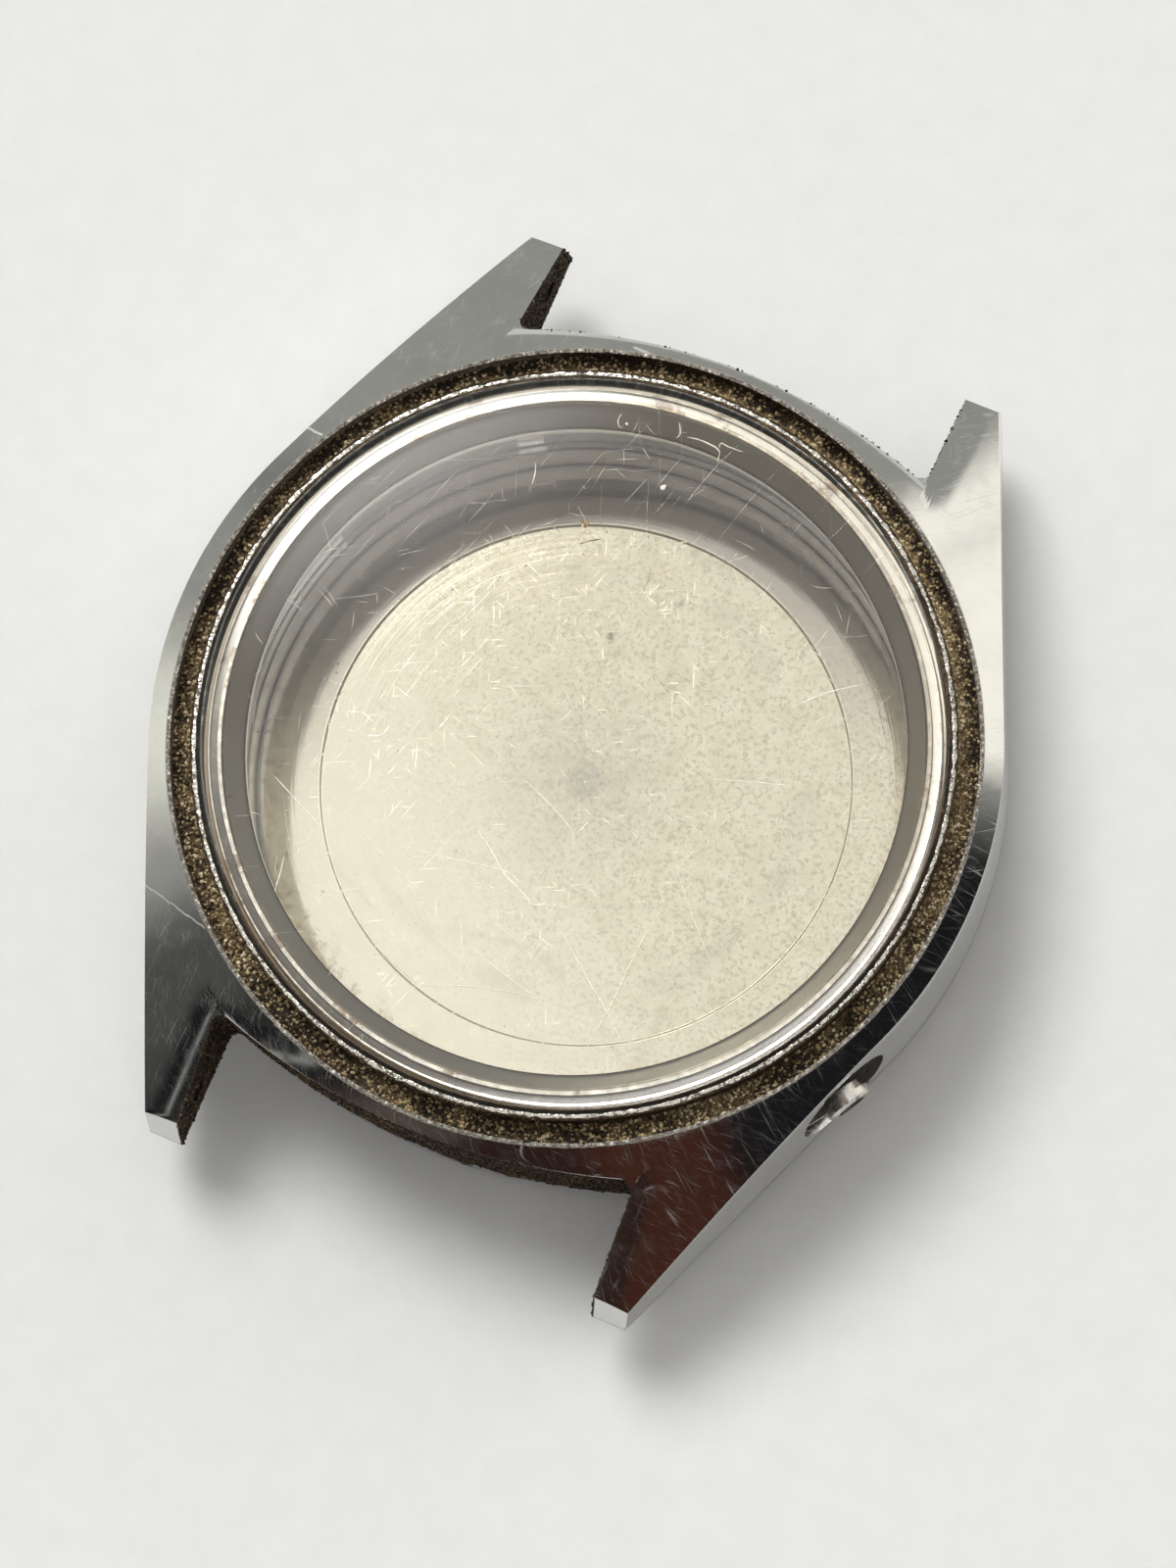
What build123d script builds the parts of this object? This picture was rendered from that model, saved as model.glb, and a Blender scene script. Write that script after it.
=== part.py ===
"""Empty wrist-watch case: case middle with lugs, crystal, tension ring, crown tube, screwed back, gasket.

Millimetres, +Z towards the crystal, +Y towards 12 o'clock, +X towards 3 o'clock.
The origin is the centre of the case back's flat outer face.
"""
from math import cos, radians, sin, sqrt
import os

from build123d import *

# Crystal and the seat it stands in
crystal_radius = 15.72
crystal_clearance = 0.03
crystal_rise = 0.9
crystal_plate = 1.1
crystal_skirt_wall = 0.37
crystal_shoulder_width = 1.05
crystal_shoulder_drop = 0.55
crystal_bevel_width = 0.5
crystal_bevel_drop = 0.4
seat_depth = 1.6
ledge_width = 1.75
ledge_thickness = 0.7

# Lip round the crystal, and the open groove where the bezel was
lip_wall = 0.35
lip_rise = 0.33
lip_edge_break = 0.08
groove_width = 0.9
groove_depth = 1.2
land_width = 0.15

# Tension ring inside the crystal's skirt
ring_clearance = 0.02
ring_headroom = 0.05
ring_foot_width = 1.27
ring_top_width = 0.42

# Case middle
middle_height = 8.0
top_slope = 28.8
flank_wall = 1.45
flank_lean = 4.5
flank_angle = 22.5
end_wall = 0.65
end_wall_radius = 28.0
barrel_step = 0.65
barrel_edge_break = 0.3
chamber_step = 0.85
lug_underside_rise = 1.9
lug_to_lug = 43.1
lug_end_lean = 12.7
strap_gap = 19.0
lug_root_radius = 0.45

# Strap-bar holes in the inner faces of the lugs
bar_hole_radius = 0.55
bar_hole_depth = 1.0
bar_hole_inset = 2.4
bar_hole_rise = 1.55

# Crown tube and the recess that the crown sat in, at 4 o'clock
crown_angle = -30.0
crown_axis_rise = 4.4
recess_radius = 2.3
recess_depth = 0.6
tube_body_radius = 0.9
tube_clearance = 0.02
tube_collar_radius = 1.08
tube_collar_length = 0.4
tube_stand_off = 1.1
tube_bore_radius = 0.65
tube_set_back = 0.1
tube_edge_break = 0.12

# Screwed case back
back_flange = 1.6
back_overhang = 1.05
back_centre_thickness = 0.9
back_step_height = 0.1
back_step_radius = 11.7
back_bevel_width = 3.2
back_bevel_height = 0.8
thread_clearance = 0.05
thread_step = 0.4
thread_height = 1.8
skirt_wall = 0.7
skirt_height = 1.6
back_seat_clearance = 0.02
notch_count = 6
notch_width = 2.8
notch_reach = 1.1
notch_depth = 1.0

# Gasket in the back's groove
gasket_groove_width = 0.6
gasket_groove_depth = 0.42
gasket_width = 0.5
gasket_seat_gap = 0.01

# One overrun for every cut that has to pass through a surface
overrun = 2.0

# Radii, worked out from the crystal outwards and inwards
seat_radius = crystal_radius + crystal_clearance
lip_radius = seat_radius + lip_wall
groove_radius = lip_radius + groove_width
land_radius = groove_radius + land_width
flank_radius = groove_radius + flank_wall
end_wall_reach = groove_radius + end_wall
barrel_radius = flank_radius - barrel_step
back_radius = barrel_radius - back_overhang
aperture_radius = seat_radius - ledge_width
chamber_radius = seat_radius - chamber_step
thread_bore_radius = chamber_radius + thread_step
thread_radius = thread_bore_radius - thread_clearance
skirt_radius = thread_radius - skirt_wall
skirt_bore_radius = crystal_radius - crystal_skirt_wall
ring_radius = skirt_bore_radius - ring_clearance

# Heights above the back's outer face
middle_bottom = back_flange + back_seat_clearance
edge_height = middle_bottom + middle_height
lip_top = edge_height + lip_rise
groove_floor = edge_height - groove_depth
seat_height = edge_height - seat_depth
ledge_bottom = seat_height - ledge_thickness
crystal_top = edge_height + crystal_rise
crystal_ceiling = crystal_top - crystal_plate
lug_underside = middle_bottom + lug_underside_rise
thread_top = middle_bottom + thread_height
crown_axis_height = middle_bottom + crown_axis_rise

# Plan of the lugs
half_gap = strap_gap / 2
lug_reach = lug_to_lug / 2
tip_outline_y = lug_reach + overrun
blank_radius = lug_reach + flank_wall + overrun
end_arc_centre = end_wall_reach - end_wall_radius
lug_root_y = end_arc_centre + sqrt(end_wall_radius**2 - half_gap**2)
bar_hole_y = lug_reach - bar_hole_inset
bar_hole_height = lug_underside + bar_hole_rise

# Crown axis: a plane square to it, its normal pointing out of the case
crown_direction = Vector(cos(radians(crown_angle)), sin(radians(crown_angle)), 0)
recess_floor_radius = flank_radius - recess_depth
tube_end_radius = recess_floor_radius + tube_stand_off
tube_start_radius = chamber_radius + tube_set_back


def crown_plane(distance):
    """Plane square to the crown axis, that far from the centre of the case."""
    origin = crown_direction * distance + Vector(0, 0, crown_axis_height)
    return Plane(origin=origin, x_dir=(0, 0, 1), z_dir=crown_direction)


def cone_height(radius):
    """Height of the sloping top face at that distance from the centre."""
    return edge_height - (radius - land_radius) * sin(radians(top_slope)) / cos(radians(top_slope))


def flank_x(y):
    """Half width of the case at its underside, on the straight stretch of the flank."""
    return (flank_radius - y * sin(radians(flank_angle))) / cos(radians(flank_angle))


# Case middle: a leaning outline, turned on top, with the strap gaps and the bores cut out of it
with BuildPart() as mid_case:
    with BuildSketch(Plane.XY.offset(lug_underside)):
        with BuildLine():
            tangent_x = flank_radius * cos(radians(flank_angle))
            tangent_y = flank_radius * sin(radians(flank_angle))
            tip_x = flank_x(tip_outline_y)
            ThreePointArc((tangent_x, -tangent_y), (flank_radius, 0), (tangent_x, tangent_y))
            Polyline(
                (tangent_x, tangent_y),
                (tip_x, tip_outline_y),
                (-tip_x, tip_outline_y),
                (-tangent_x, tangent_y),
            )
            ThreePointArc((-tangent_x, tangent_y), (-flank_radius, 0), (-tangent_x, -tangent_y))
            Polyline(
                (-tangent_x, -tangent_y),
                (-tip_x, -tip_outline_y),
                (tip_x, -tip_outline_y),
                (tangent_x, -tangent_y),
            )
        make_face()
    extrude(amount=middle_height, taper=flank_lean)

    # The lathe takes the top down to a cone, and leaves the land and the lip's full height
    with BuildSketch(Plane.XZ):
        Polygon(
            (0, lug_underside),
            (blank_radius, lug_underside),
            (blank_radius, cone_height(blank_radius)),
            (land_radius, edge_height),
            (lip_radius, edge_height),
            (lip_radius, lip_top),
            (0, lip_top),
            align=None,
        )
    revolve(axis=Axis.Z, mode=Mode.INTERSECT)

    # The end faces of the lugs lean outwards as they go down
    for side in (1, -1):
        lean = radians(lug_end_lean)
        end_plane = Plane(
            origin=(0, side * lug_reach, lug_underside),
            x_dir=(1, 0, 0),
            z_dir=(0, side * cos(lean), sin(lean)),
        )
        split(bisect_by=end_plane, keep=Keep.BOTTOM)

    # The round barrel below the lugs, which the back screws into
    with BuildSketch(Plane.XY.offset(middle_bottom)):
        Circle(barrel_radius)
    extrude(amount=lug_underside - middle_bottom + ledge_thickness)
    barrel_rim = mid_case.edges().filter_by(GeomType.CIRCLE).sort_by(Axis.Z)[0]
    chamfer(barrel_rim, length=barrel_edge_break)

    # The gaps that the strap ends go into, with their curved end walls
    for turn in (0, 180):
        with BuildSketch(Plane.XY.offset(middle_bottom - overrun).rotated((0, 0, turn))):
            with BuildLine():
                Polyline(
                    (-half_gap, lug_root_y),
                    (-half_gap, lug_reach + overrun),
                    (half_gap, lug_reach + overrun),
                    (half_gap, lug_root_y),
                )
                ThreePointArc((half_gap, lug_root_y), (0, end_wall_reach), (-half_gap, lug_root_y))
            gap = make_face()
            fillet(gap.vertices().sort_by(Axis.Y)[:2], radius=lug_root_radius)
        extrude(amount=middle_height + 2 * overrun, mode=Mode.SUBTRACT)

    # The movement chamber, the dial aperture and the crystal's seat
    with BuildSketch(Plane.XZ):
        Polygon(
            (0, middle_bottom - overrun),
            (thread_bore_radius, middle_bottom - overrun),
            (thread_bore_radius, thread_top),
            (chamber_radius, thread_top),
            (chamber_radius, ledge_bottom),
            (aperture_radius, ledge_bottom),
            (aperture_radius, seat_height),
            (seat_radius, seat_height),
            (seat_radius, lip_top + overrun),
            (0, lip_top + overrun),
            align=None,
        )
    revolve(axis=Axis.Z, mode=Mode.SUBTRACT)

    # The groove round the lip
    with BuildSketch(Plane.XZ):
        Polygon(
            (lip_radius, groove_floor),
            (groove_radius, groove_floor),
            (groove_radius, edge_height + overrun),
            (lip_radius - lip_edge_break, edge_height + overrun),
            (lip_radius - lip_edge_break, lip_top),
            (lip_radius, lip_top - lip_edge_break),
            align=None,
        )
    revolve(axis=Axis.Z, mode=Mode.SUBTRACT)

    # The crown's recess in the flank, and the hole that the tube is pressed into
    with BuildSketch(crown_plane(recess_floor_radius)):
        Circle(recess_radius)
    extrude(amount=recess_depth + overrun, mode=Mode.SUBTRACT)
    with BuildSketch(crown_plane(aperture_radius)):
        Circle(tube_body_radius + tube_clearance)
    extrude(amount=flank_radius - aperture_radius, mode=Mode.SUBTRACT)

    # Two blind holes in each strap gap, one in each lug
    for x_side in (1, -1):
        for y_side in (1, -1):
            hole_plane = Plane(
                origin=(x_side * half_gap, y_side * bar_hole_y, bar_hole_height),
                z_dir=(x_side, 0, 0),
            )
            with BuildSketch(hole_plane):
                Circle(bar_hole_radius)
            extrude(amount=bar_hole_depth, mode=Mode.SUBTRACT)


# Crystal: a clear cap with a rounded shoulder, its skirt standing on the ledge
with BuildPart() as crystal:
    shoulder_bottom = crystal_top - crystal_shoulder_drop
    flat_radius = crystal_radius - crystal_shoulder_width
    with BuildSketch(Plane.XZ):
        with BuildLine():
            bevel_start = (crystal_radius - crystal_bevel_width, shoulder_bottom + crystal_bevel_drop)
            Polyline(
                (flat_radius, crystal_top),
                (0, crystal_top),
                (0, crystal_ceiling),
                (skirt_bore_radius, crystal_ceiling),
                (skirt_bore_radius, seat_height),
                (crystal_radius, seat_height),
                (crystal_radius, shoulder_bottom),
                bevel_start,
            )
            TangentArc((flat_radius, crystal_top), bevel_start, tangent=(1, 0))
        make_face()
    revolve(axis=Axis.Z)


# Tension ring: keeps the crystal's skirt pressed outwards; its inner face slopes in to the dial aperture
with BuildPart() as tension_ring:
    ring_top = crystal_ceiling - ring_headroom
    with BuildSketch(Plane.XZ):
        Polygon(
            (ring_radius, seat_height),
            (ring_radius, ring_top),
            (ring_radius - ring_top_width, ring_top),
            (ring_radius - ring_foot_width, seat_height),
            align=None,
        )
    revolve(axis=Axis.Z)


# Crown tube: pressed through the wall, with a collar round its outer end
with BuildPart() as crown_tube:
    with BuildSketch(crown_plane(tube_start_radius)):
        Circle(tube_body_radius)
    extrude(amount=tube_end_radius - tube_start_radius)
    with BuildSketch(crown_plane(tube_end_radius - tube_collar_length)):
        Circle(tube_collar_radius)
    extrude(amount=tube_collar_length)
    crown_axis = Axis(origin=(0, 0, 0), direction=crown_direction)
    collar_rim = crown_tube.edges().filter_by(GeomType.CIRCLE).sort_by(crown_axis)[-1]
    chamfer(collar_rim, length=tube_edge_break)
    with BuildSketch(crown_plane(tube_start_radius - overrun)):
        Circle(tube_bore_radius)
    extrude(amount=tube_end_radius - tube_start_radius + 2 * overrun, mode=Mode.SUBTRACT)


# Case back: a dished disc with a bevelled rim, a threaded skirt and key notches
with BuildPart() as case_back:
    with BuildSketch(Plane.XZ):
        Polygon(
            (0, 0),
            (back_radius - back_bevel_width, 0),
            (back_radius, back_bevel_height),
            (back_radius, back_flange),
            (thread_radius + gasket_groove_width, back_flange),
            (thread_radius + gasket_groove_width, back_flange - gasket_groove_depth),
            (thread_radius, back_flange - gasket_groove_depth),
            (thread_radius, back_flange + skirt_height),
            (skirt_radius, back_flange + skirt_height),
            (skirt_radius, back_centre_thickness + back_step_height),
            (back_step_radius, back_centre_thickness + back_step_height),
            (back_step_radius, back_centre_thickness),
            (0, back_centre_thickness),
            align=None,
        )
    revolve(axis=Axis.Z)
    with BuildSketch(Plane.XY.offset(-overrun)):
        with PolarLocations(back_radius - notch_reach, notch_count):
            Rectangle(notch_reach + overrun, notch_width, align=(Align.MIN, Align.CENTER))
    extrude(amount=notch_depth + overrun, mode=Mode.SUBTRACT)


# Gasket: a rubber ring lying in the back's groove, squashed flat by the case middle
with BuildPart() as back_gasket:
    gasket_inner = thread_radius + (gasket_groove_width - gasket_width) / 2
    gasket_bottom = back_flange - gasket_groove_depth + gasket_seat_gap
    with BuildSketch(Plane.XZ):
        with Locations((gasket_inner, gasket_bottom)):
            Rectangle(
                gasket_width,
                gasket_groove_depth - gasket_seat_gap,
                align=(Align.MIN, Align.MIN),
            )
    revolve(axis=Axis.Z)


os.makedirs("parts", exist_ok=True)
pieces = {
    "mid_case": mid_case,
    "crystal": crystal,
    "tension_ring": tension_ring,
    "crown_tube": crown_tube,
    "case_back": case_back,
    "back_gasket": back_gasket,
}
for name, piece in pieces.items():
    piece.part.label = name
    export_step(piece.part, f"parts/{name}.step")
    print(name, "volume", round(piece.part.volume, 2), "mm3, valid", piece.part.is_valid)
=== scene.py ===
# %% [markdown]
# # An empty watch case
#
# The frame is the engineering model: six solids at their real size, each on the body that it moves with.
# It is loaded before anything else, and every length below follows from it. The plain solids are then
# replaced by finer meshes of the same shape, because polished steel shows each facet of a coarse one.

# %% Load the frame
import math
import random

import bmesh
import bpy
from mathutils import Matrix, Vector


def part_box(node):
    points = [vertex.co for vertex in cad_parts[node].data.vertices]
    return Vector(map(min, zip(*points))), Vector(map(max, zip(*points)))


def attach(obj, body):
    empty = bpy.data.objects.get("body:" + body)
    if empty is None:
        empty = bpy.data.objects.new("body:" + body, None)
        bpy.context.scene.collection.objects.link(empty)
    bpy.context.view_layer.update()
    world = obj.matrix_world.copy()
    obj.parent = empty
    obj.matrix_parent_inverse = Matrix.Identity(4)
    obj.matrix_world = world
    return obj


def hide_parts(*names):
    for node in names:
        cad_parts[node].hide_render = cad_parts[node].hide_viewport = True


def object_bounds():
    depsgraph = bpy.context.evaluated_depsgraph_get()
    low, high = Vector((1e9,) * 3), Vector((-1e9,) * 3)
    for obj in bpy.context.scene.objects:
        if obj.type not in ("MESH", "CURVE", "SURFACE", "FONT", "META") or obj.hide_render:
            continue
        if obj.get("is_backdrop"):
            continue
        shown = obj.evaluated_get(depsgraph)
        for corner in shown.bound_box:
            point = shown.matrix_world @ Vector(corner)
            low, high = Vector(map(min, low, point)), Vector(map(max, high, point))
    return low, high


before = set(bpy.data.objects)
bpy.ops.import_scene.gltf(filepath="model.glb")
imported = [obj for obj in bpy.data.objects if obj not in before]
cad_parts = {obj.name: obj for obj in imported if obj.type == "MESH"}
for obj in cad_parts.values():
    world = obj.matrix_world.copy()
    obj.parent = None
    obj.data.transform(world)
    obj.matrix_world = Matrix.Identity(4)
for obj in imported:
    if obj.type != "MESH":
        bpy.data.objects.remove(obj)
cad_low, cad_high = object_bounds()
MM = 0.001
print("case size in mm:", [round(side / MM, 2) for side in (cad_high - cad_low)])

# %% [markdown]
# ## Sizes
#
# A lathe-made case is a list of radii and heights. The outer ones are read from the frame's boxes. Those
# inside a solid, such as the seat's, are walls and steps added to a neighbour's size, as a case maker's
# drawing gives them. All are in millimetres until a mesh is made.

# %% Radii and heights, in millimetres
crystal_low, crystal_high = (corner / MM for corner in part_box("crystal"))
case_low, case_high = (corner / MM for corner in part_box("mid_case"))
back_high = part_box("case_back")[1] / MM
ring_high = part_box("tension_ring")[1] / MM
gasket_low, gasket_high = (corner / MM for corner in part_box("back_gasket"))

crystal_radius = crystal_high.x
crystal_top = crystal_high.z
seat_height = crystal_low.z
seat_radius = crystal_radius + 0.03
lip_radius = seat_radius + 0.35
groove_radius = lip_radius + 0.9
land_radius = groove_radius + 0.15
flank_radius = case_high.x
barrel_radius = flank_radius - 0.65
end_wall_reach = groove_radius + 0.65
aperture_radius = seat_radius - 1.75
chamber_radius = seat_radius - 0.85
thread_radius = chamber_radius + 0.4

lip_top = case_high.z
edge_height = lip_top - 0.33
groove_floor = edge_height - 1.2
ledge_bottom = seat_height - 0.7
middle_bottom = case_low.z
thread_top = middle_bottom + 1.8
lug_underside = middle_bottom + 1.9
lug_reach = case_high.y

half_gap = 9.5
top_slope = math.radians(28.8)
flank_lean = math.radians(4.5)
flank_angle = math.radians(22.5)
lug_end_lean = math.radians(12.7)
end_wall_radius = 28.0
end_wall_centre = end_wall_reach - end_wall_radius
lug_root_radius = 0.45
roll_reach = 1.4
roll_slope = 0.19
print("groove from", round(lip_radius, 2), "to", round(groove_radius, 2), "mm")

# %% [markdown]
# ## Camera
#
# The photograph was taken from almost straight above and from some way off, so the perspective is weak. The
# camera stands where the round groove, the lug corners and the lug faces all fall on their places in the
# picture.

# %% The camera at the photograph's angle
camera_data = bpy.data.cameras.new("camera")
camera_data.lens = 87.05
camera_data.sensor_width = 36.0
camera_data.clip_start = 0.005
camera_data.clip_end = 10.0
camera = bpy.data.objects.new("camera", camera_data)
bpy.context.scene.collection.objects.link(camera)
camera_right = Vector((0.92022, 0.38628, -0.06309))
camera_up = Vector((-0.36528, 0.90549, 0.21602))
camera_back = Vector((0.14057, -0.17574, 0.97435))
camera.matrix_world = Matrix.Translation(Vector((23.608, -29.359, 163.83)) * MM) @ Matrix(
    (camera_right, camera_up, camera_back)
).transposed().to_4x4()
bpy.context.scene.camera = camera
bpy.context.scene.view_settings.view_transform = "Standard"

# %% [markdown]
# ## Helpers for nodes
#
# Shader nodes and geometry nodes are joined in the same way, so one small class serves both. A formula then
# reads as one line instead of ten.

# %% Node helpers


class Graph:
    """Adds nodes to a tree and joins them."""

    def __init__(self, tree):
        self.tree = tree

    def add(self, kind, inputs=None, **settings):
        node = self.tree.nodes.new(kind)
        for name, value in settings.items():
            setattr(node, name, value)
        for name, value in (inputs or {}).items():
            self.put(node.inputs[name], value)
        return node

    def put(self, socket, value):
        if isinstance(value, bpy.types.NodeSocket):
            self.tree.links.new(value, socket)
        elif value is not None:
            socket.default_value = value

    def math(self, operation, *values, clamp=False):
        node = self.add("ShaderNodeMath", operation=operation, use_clamp=clamp)
        for socket, value in zip(node.inputs, values):
            self.put(socket, value)
        return node.outputs[0]

    def folded(self, operation, values, clamp=False):
        """One operation over many values, from left to right."""
        total = values[0]
        for value in values[1:]:
            total = self.math(operation, total, value, clamp=clamp)
        return total

    def plus(self, *values):
        return self.folded("ADD", values)

    def minus(self, *values, clamp=False):
        return self.folded("SUBTRACT", values, clamp)

    def times(self, *values, clamp=False):
        return self.folded("MULTIPLY", values, clamp)

    def over(self, *values, clamp=False):
        return self.folded("DIVIDE", values, clamp)

    def most(self, *values):
        return self.folded("MAXIMUM", values)

    def vector(self, operation, *values):
        node = self.add("ShaderNodeVectorMath", operation=operation)
        for socket, value in zip(node.inputs, values):
            self.put(socket, value)
        single = operation in ("LENGTH", "DOT_PRODUCT")
        return node.outputs["Value" if single else "Vector"]

    def scaled(self, vector, factor):
        inputs = {"Vector": vector, "Scale": factor}
        return self.add("ShaderNodeVectorMath", inputs, operation="SCALE").outputs[0]

    def split(self, vector):
        return self.add("ShaderNodeSeparateXYZ", {0: vector}).outputs

    def join(self, x=0.0, y=0.0, z=0.0):
        return self.add("ShaderNodeCombineXYZ", {0: x, 1: y, 2: z}).outputs[0]

    def from_axis(self, x, y):
        """Distance from the Z axis."""
        return self.vector("LENGTH", self.join(x, y, 0.0))

    def towards(self, spot, way):
        """How far a place lies in some direction."""
        return self.vector("DOT_PRODUCT", spot, way)

    def noise(self, vector, scale=1.0, detail=2.0, roughness=0.5, output=0):
        inputs = {"Vector": vector, "Scale": scale, "Detail": detail, "Roughness": roughness}
        return self.add("ShaderNodeTexNoise", inputs).outputs[output]

    def cells(self, vector, scale=1.0):
        return self.add("ShaderNodeTexVoronoi", {"Vector": vector, "Scale": scale}).outputs["Distance"]

    def attribute(self, name):
        """A number that the mesh itself carries."""
        return self.add("ShaderNodeAttribute", attribute_name=name).outputs["Fac"]

    def ease(self, value, low, high, start=0.0, end=1.0):
        """Goes smoothly from start to end while the value goes from low to high."""
        inputs = {0: value, 1: low, 2: high, 3: start, 4: end}
        return self.add("ShaderNodeMapRange", inputs, interpolation_type="SMOOTHSTEP").outputs[0]

    def fade(self, value, low, high):
        """Goes smoothly from 1 to 0 while the value goes from low to high."""
        return self.ease(value, low, high, 1.0, 0.0)

    def band(self, value, low, high, soft):
        """1 between low and high, 0 outside, with soft edges."""
        return self.times(self.ease(value, low - soft, low + soft),
                          self.fade(value, high - soft, high + soft))

    def mix(self, factor, first, second):
        """A colour between two others; its sockets 0, 6 and 7 are the factor and the two colours."""
        node = self.add("ShaderNodeMix", data_type="RGBA")
        for number, value in ((0, factor), (6, first), (7, second)):
            if isinstance(value, tuple) and len(value) == 3:
                value = (*value, 1)
            self.put(node.inputs[number], value)
        return node.outputs[2]

    def layered(self, colour, *layers):
        """Lays pairs of (share, colour) over a first colour, one after the other."""
        for share, above in layers:
            colour = self.mix(share, colour, above)
        return colour

    def bump(self, height, depth):
        """A normal from a height; depth is what a height of 1 is in metres."""
        inputs = {"Height": height, "Distance": depth, "Strength": 1.0}
        return self.add("ShaderNodeBump", inputs).outputs[0]


def shader_group(name, inputs, outputs):
    """A shader node group with named inputs and outputs."""
    group = bpy.data.node_groups.new(name, "ShaderNodeTree")
    for label, value in inputs.items():
        kind = "NodeSocketVector" if value is None else "NodeSocketFloat"
        socket = group.interface.new_socket(name=label, in_out="INPUT", socket_type=kind)
        if value is not None:
            socket.default_value = value
    for label in outputs:
        group.interface.new_socket(name=label, in_out="OUTPUT", socket_type="NodeSocketFloat")
    graph = Graph(group)
    return group, graph, graph.add("NodeGroupInput").outputs, graph.add("NodeGroupOutput").inputs


def use(graph, group, **values):
    """Puts a group into a material; spaces in its input names are written as underscores."""
    node = graph.add("ShaderNodeGroup", node_tree=group)
    for name, value in values.items():
        graph.put(node.inputs[name.replace("_", " ")], value)
    return node.outputs


def material_graph(name):
    """A new material with its graph and its object coordinates in millimetres."""
    material = bpy.data.materials.new(name)
    material.use_nodes = True
    graph = Graph(material.node_tree)
    where = graph.add("ShaderNodeTexCoord")
    return material, graph, graph.scaled(where.outputs["Object"], 1 / MM)


def coat(graph, **values):
    """Sets inputs of a material's Principled shader; spaces are written as underscores here too."""
    shader = graph.tree.nodes["Principled BSDF"]
    for name, value in values.items():
        graph.put(shader.inputs[name.replace("_", " ")], value)


def see_through(graph, share, colour=(1.0, 1.0, 1.0, 1.0)):
    """Mixes a material's shader with plain transparency."""
    nodes = graph.tree.nodes
    clear = graph.add("ShaderNodeBsdfTransparent", {"Color": colour})
    shaders = {0: share, 1: nodes["Principled BSDF"].outputs[0], 2: clear.outputs[0]}
    mixed = graph.add("ShaderNodeMixShader", shaders)
    graph.put(nodes["Material Output"].inputs["Surface"], mixed.outputs[0])


# %% [markdown]
# ## Wear that several materials share
#
# Three of these effects come back on several parts. Hairlines are the thin straight scratches that a
# polished watch picks up from cuffs and keys: narrow bands of a noise that is stretched to a long streak,
# in four directions. Turned lines are the rings that a lathe tool leaves. Grime is a patchy mask for old
# dirt. The fourth draws one long scratch from a point to another, and is placed once for each deep scratch.

# %% Hairlines
hairlines, graph, given, result = shader_group(
    "hairlines", {"Position": None, "Spacing": 0.5, "Width": 0.05, "Length": 5.0}, ["Lines"])
lines = 0.0
for turn, shift in ((0.35, 3.0), (1.2, 17.0), (1.9, 61.0), (2.7, 29.0)):
    inputs = {"Vector": given["Position"], "Angle": turn}
    turned = graph.add("ShaderNodeVectorRotate", inputs, rotation_type="Z_AXIS").outputs[0]
    along, across, up = graph.split(graph.vector("ADD", turned, (shift, shift, 0.0)))
    sway = graph.noise(graph.join(graph.times(along, 0.12), graph.times(across, 0.12), shift), 1.0, 1.0)
    across = graph.plus(across, graph.times(up, 1.7), sway)
    lane = graph.over(across, given["Spacing"])
    number = graph.math("FLOOR", lane)
    chance = graph.add("ShaderNodeTexWhiteNoise", {"W": number}, noise_dimensions="1D").outputs["Value"]
    middle = graph.plus(0.2, graph.times(chance, 0.6))
    away = graph.math("ABSOLUTE", graph.minus(graph.math("FRACT", lane), middle))
    thin = graph.fade(away, 0.0, given["Width"])
    run = graph.join(graph.over(along, given["Length"]), graph.times(number, 7.3), shift)
    there = graph.ease(graph.noise(run, 1.0, 0.0), 0.55, 0.8)
    lines = graph.most(lines, graph.times(thin, there))
crowd = graph.ease(graph.noise(given["Position"], 0.55, 2.0), 0.42, 0.66, 0.35, 1.0)
graph.put(result["Lines"], graph.times(lines, crowd))

# %% Turned lines
turned_lines, graph, given, result = shader_group(
    "turned_lines", {"Position": None, "Pitch": 0.12}, ["Height"])
x, y, _ = graph.split(given["Position"])
way = graph.vector("NORMALIZE", graph.join(x, y, 0.0))
row = graph.over(graph.from_axis(x, y), given["Pitch"])
cut = graph.vector("ADD", graph.scaled(way, 0.8), graph.join(0.0, 0.0, row))
graph.put(result["Height"], graph.noise(cut, 1.0, 3.0, 0.7))

# %% Grime
grime, graph, given, result = shader_group(
    "grime", {"Position": None, "Size": 1.0, "Cover": 0.5}, ["Mask", "Grain", "Tone"])
size = given["Size"]
patches = graph.noise(graph.vector("DIVIDE", given["Position"], graph.join(size, size, size)), 1.0, 6.0, 0.62)
bare_below = graph.minus(0.74, graph.times(given["Cover"], 0.48))
graph.put(result["Mask"], graph.over(graph.minus(patches, bare_below), 0.06, clamp=True))
graph.put(result["Grain"], graph.cells(given["Position"], 7.0))
graph.put(result["Tone"], graph.noise(given["Position"], 5.5, 4.0, 0.7))

# %% One long scratch
long_scratch, graph, given, result = shader_group(
    "long_scratch", {"Position": None, "Start": None, "End": None, "Width": 0.05}, ["Line"])
run = graph.vector("SUBTRACT", given["End"], given["Start"])
gone = graph.vector("SUBTRACT", given["Position"], given["Start"])
share = graph.over(graph.towards(gone, run), graph.towards(run, run), clamp=True)
away = graph.vector("LENGTH", graph.vector("SUBTRACT", gone, graph.scaled(run, share)))
graph.put(result["Line"], graph.minus(1.0, graph.over(away, given["Width"]), clamp=True))

# %% [markdown]
# ## Small helpers for meshes
#
# A piece is either lofted through sections or spun from a profile. Both give points and faces, and one
# function turns those into a clean mesh, with its normals outwards and its sharp edges marked. Modifiers are
# baked at once, so that every piece ends as a plain mesh.

# %% Mesh helpers


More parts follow.
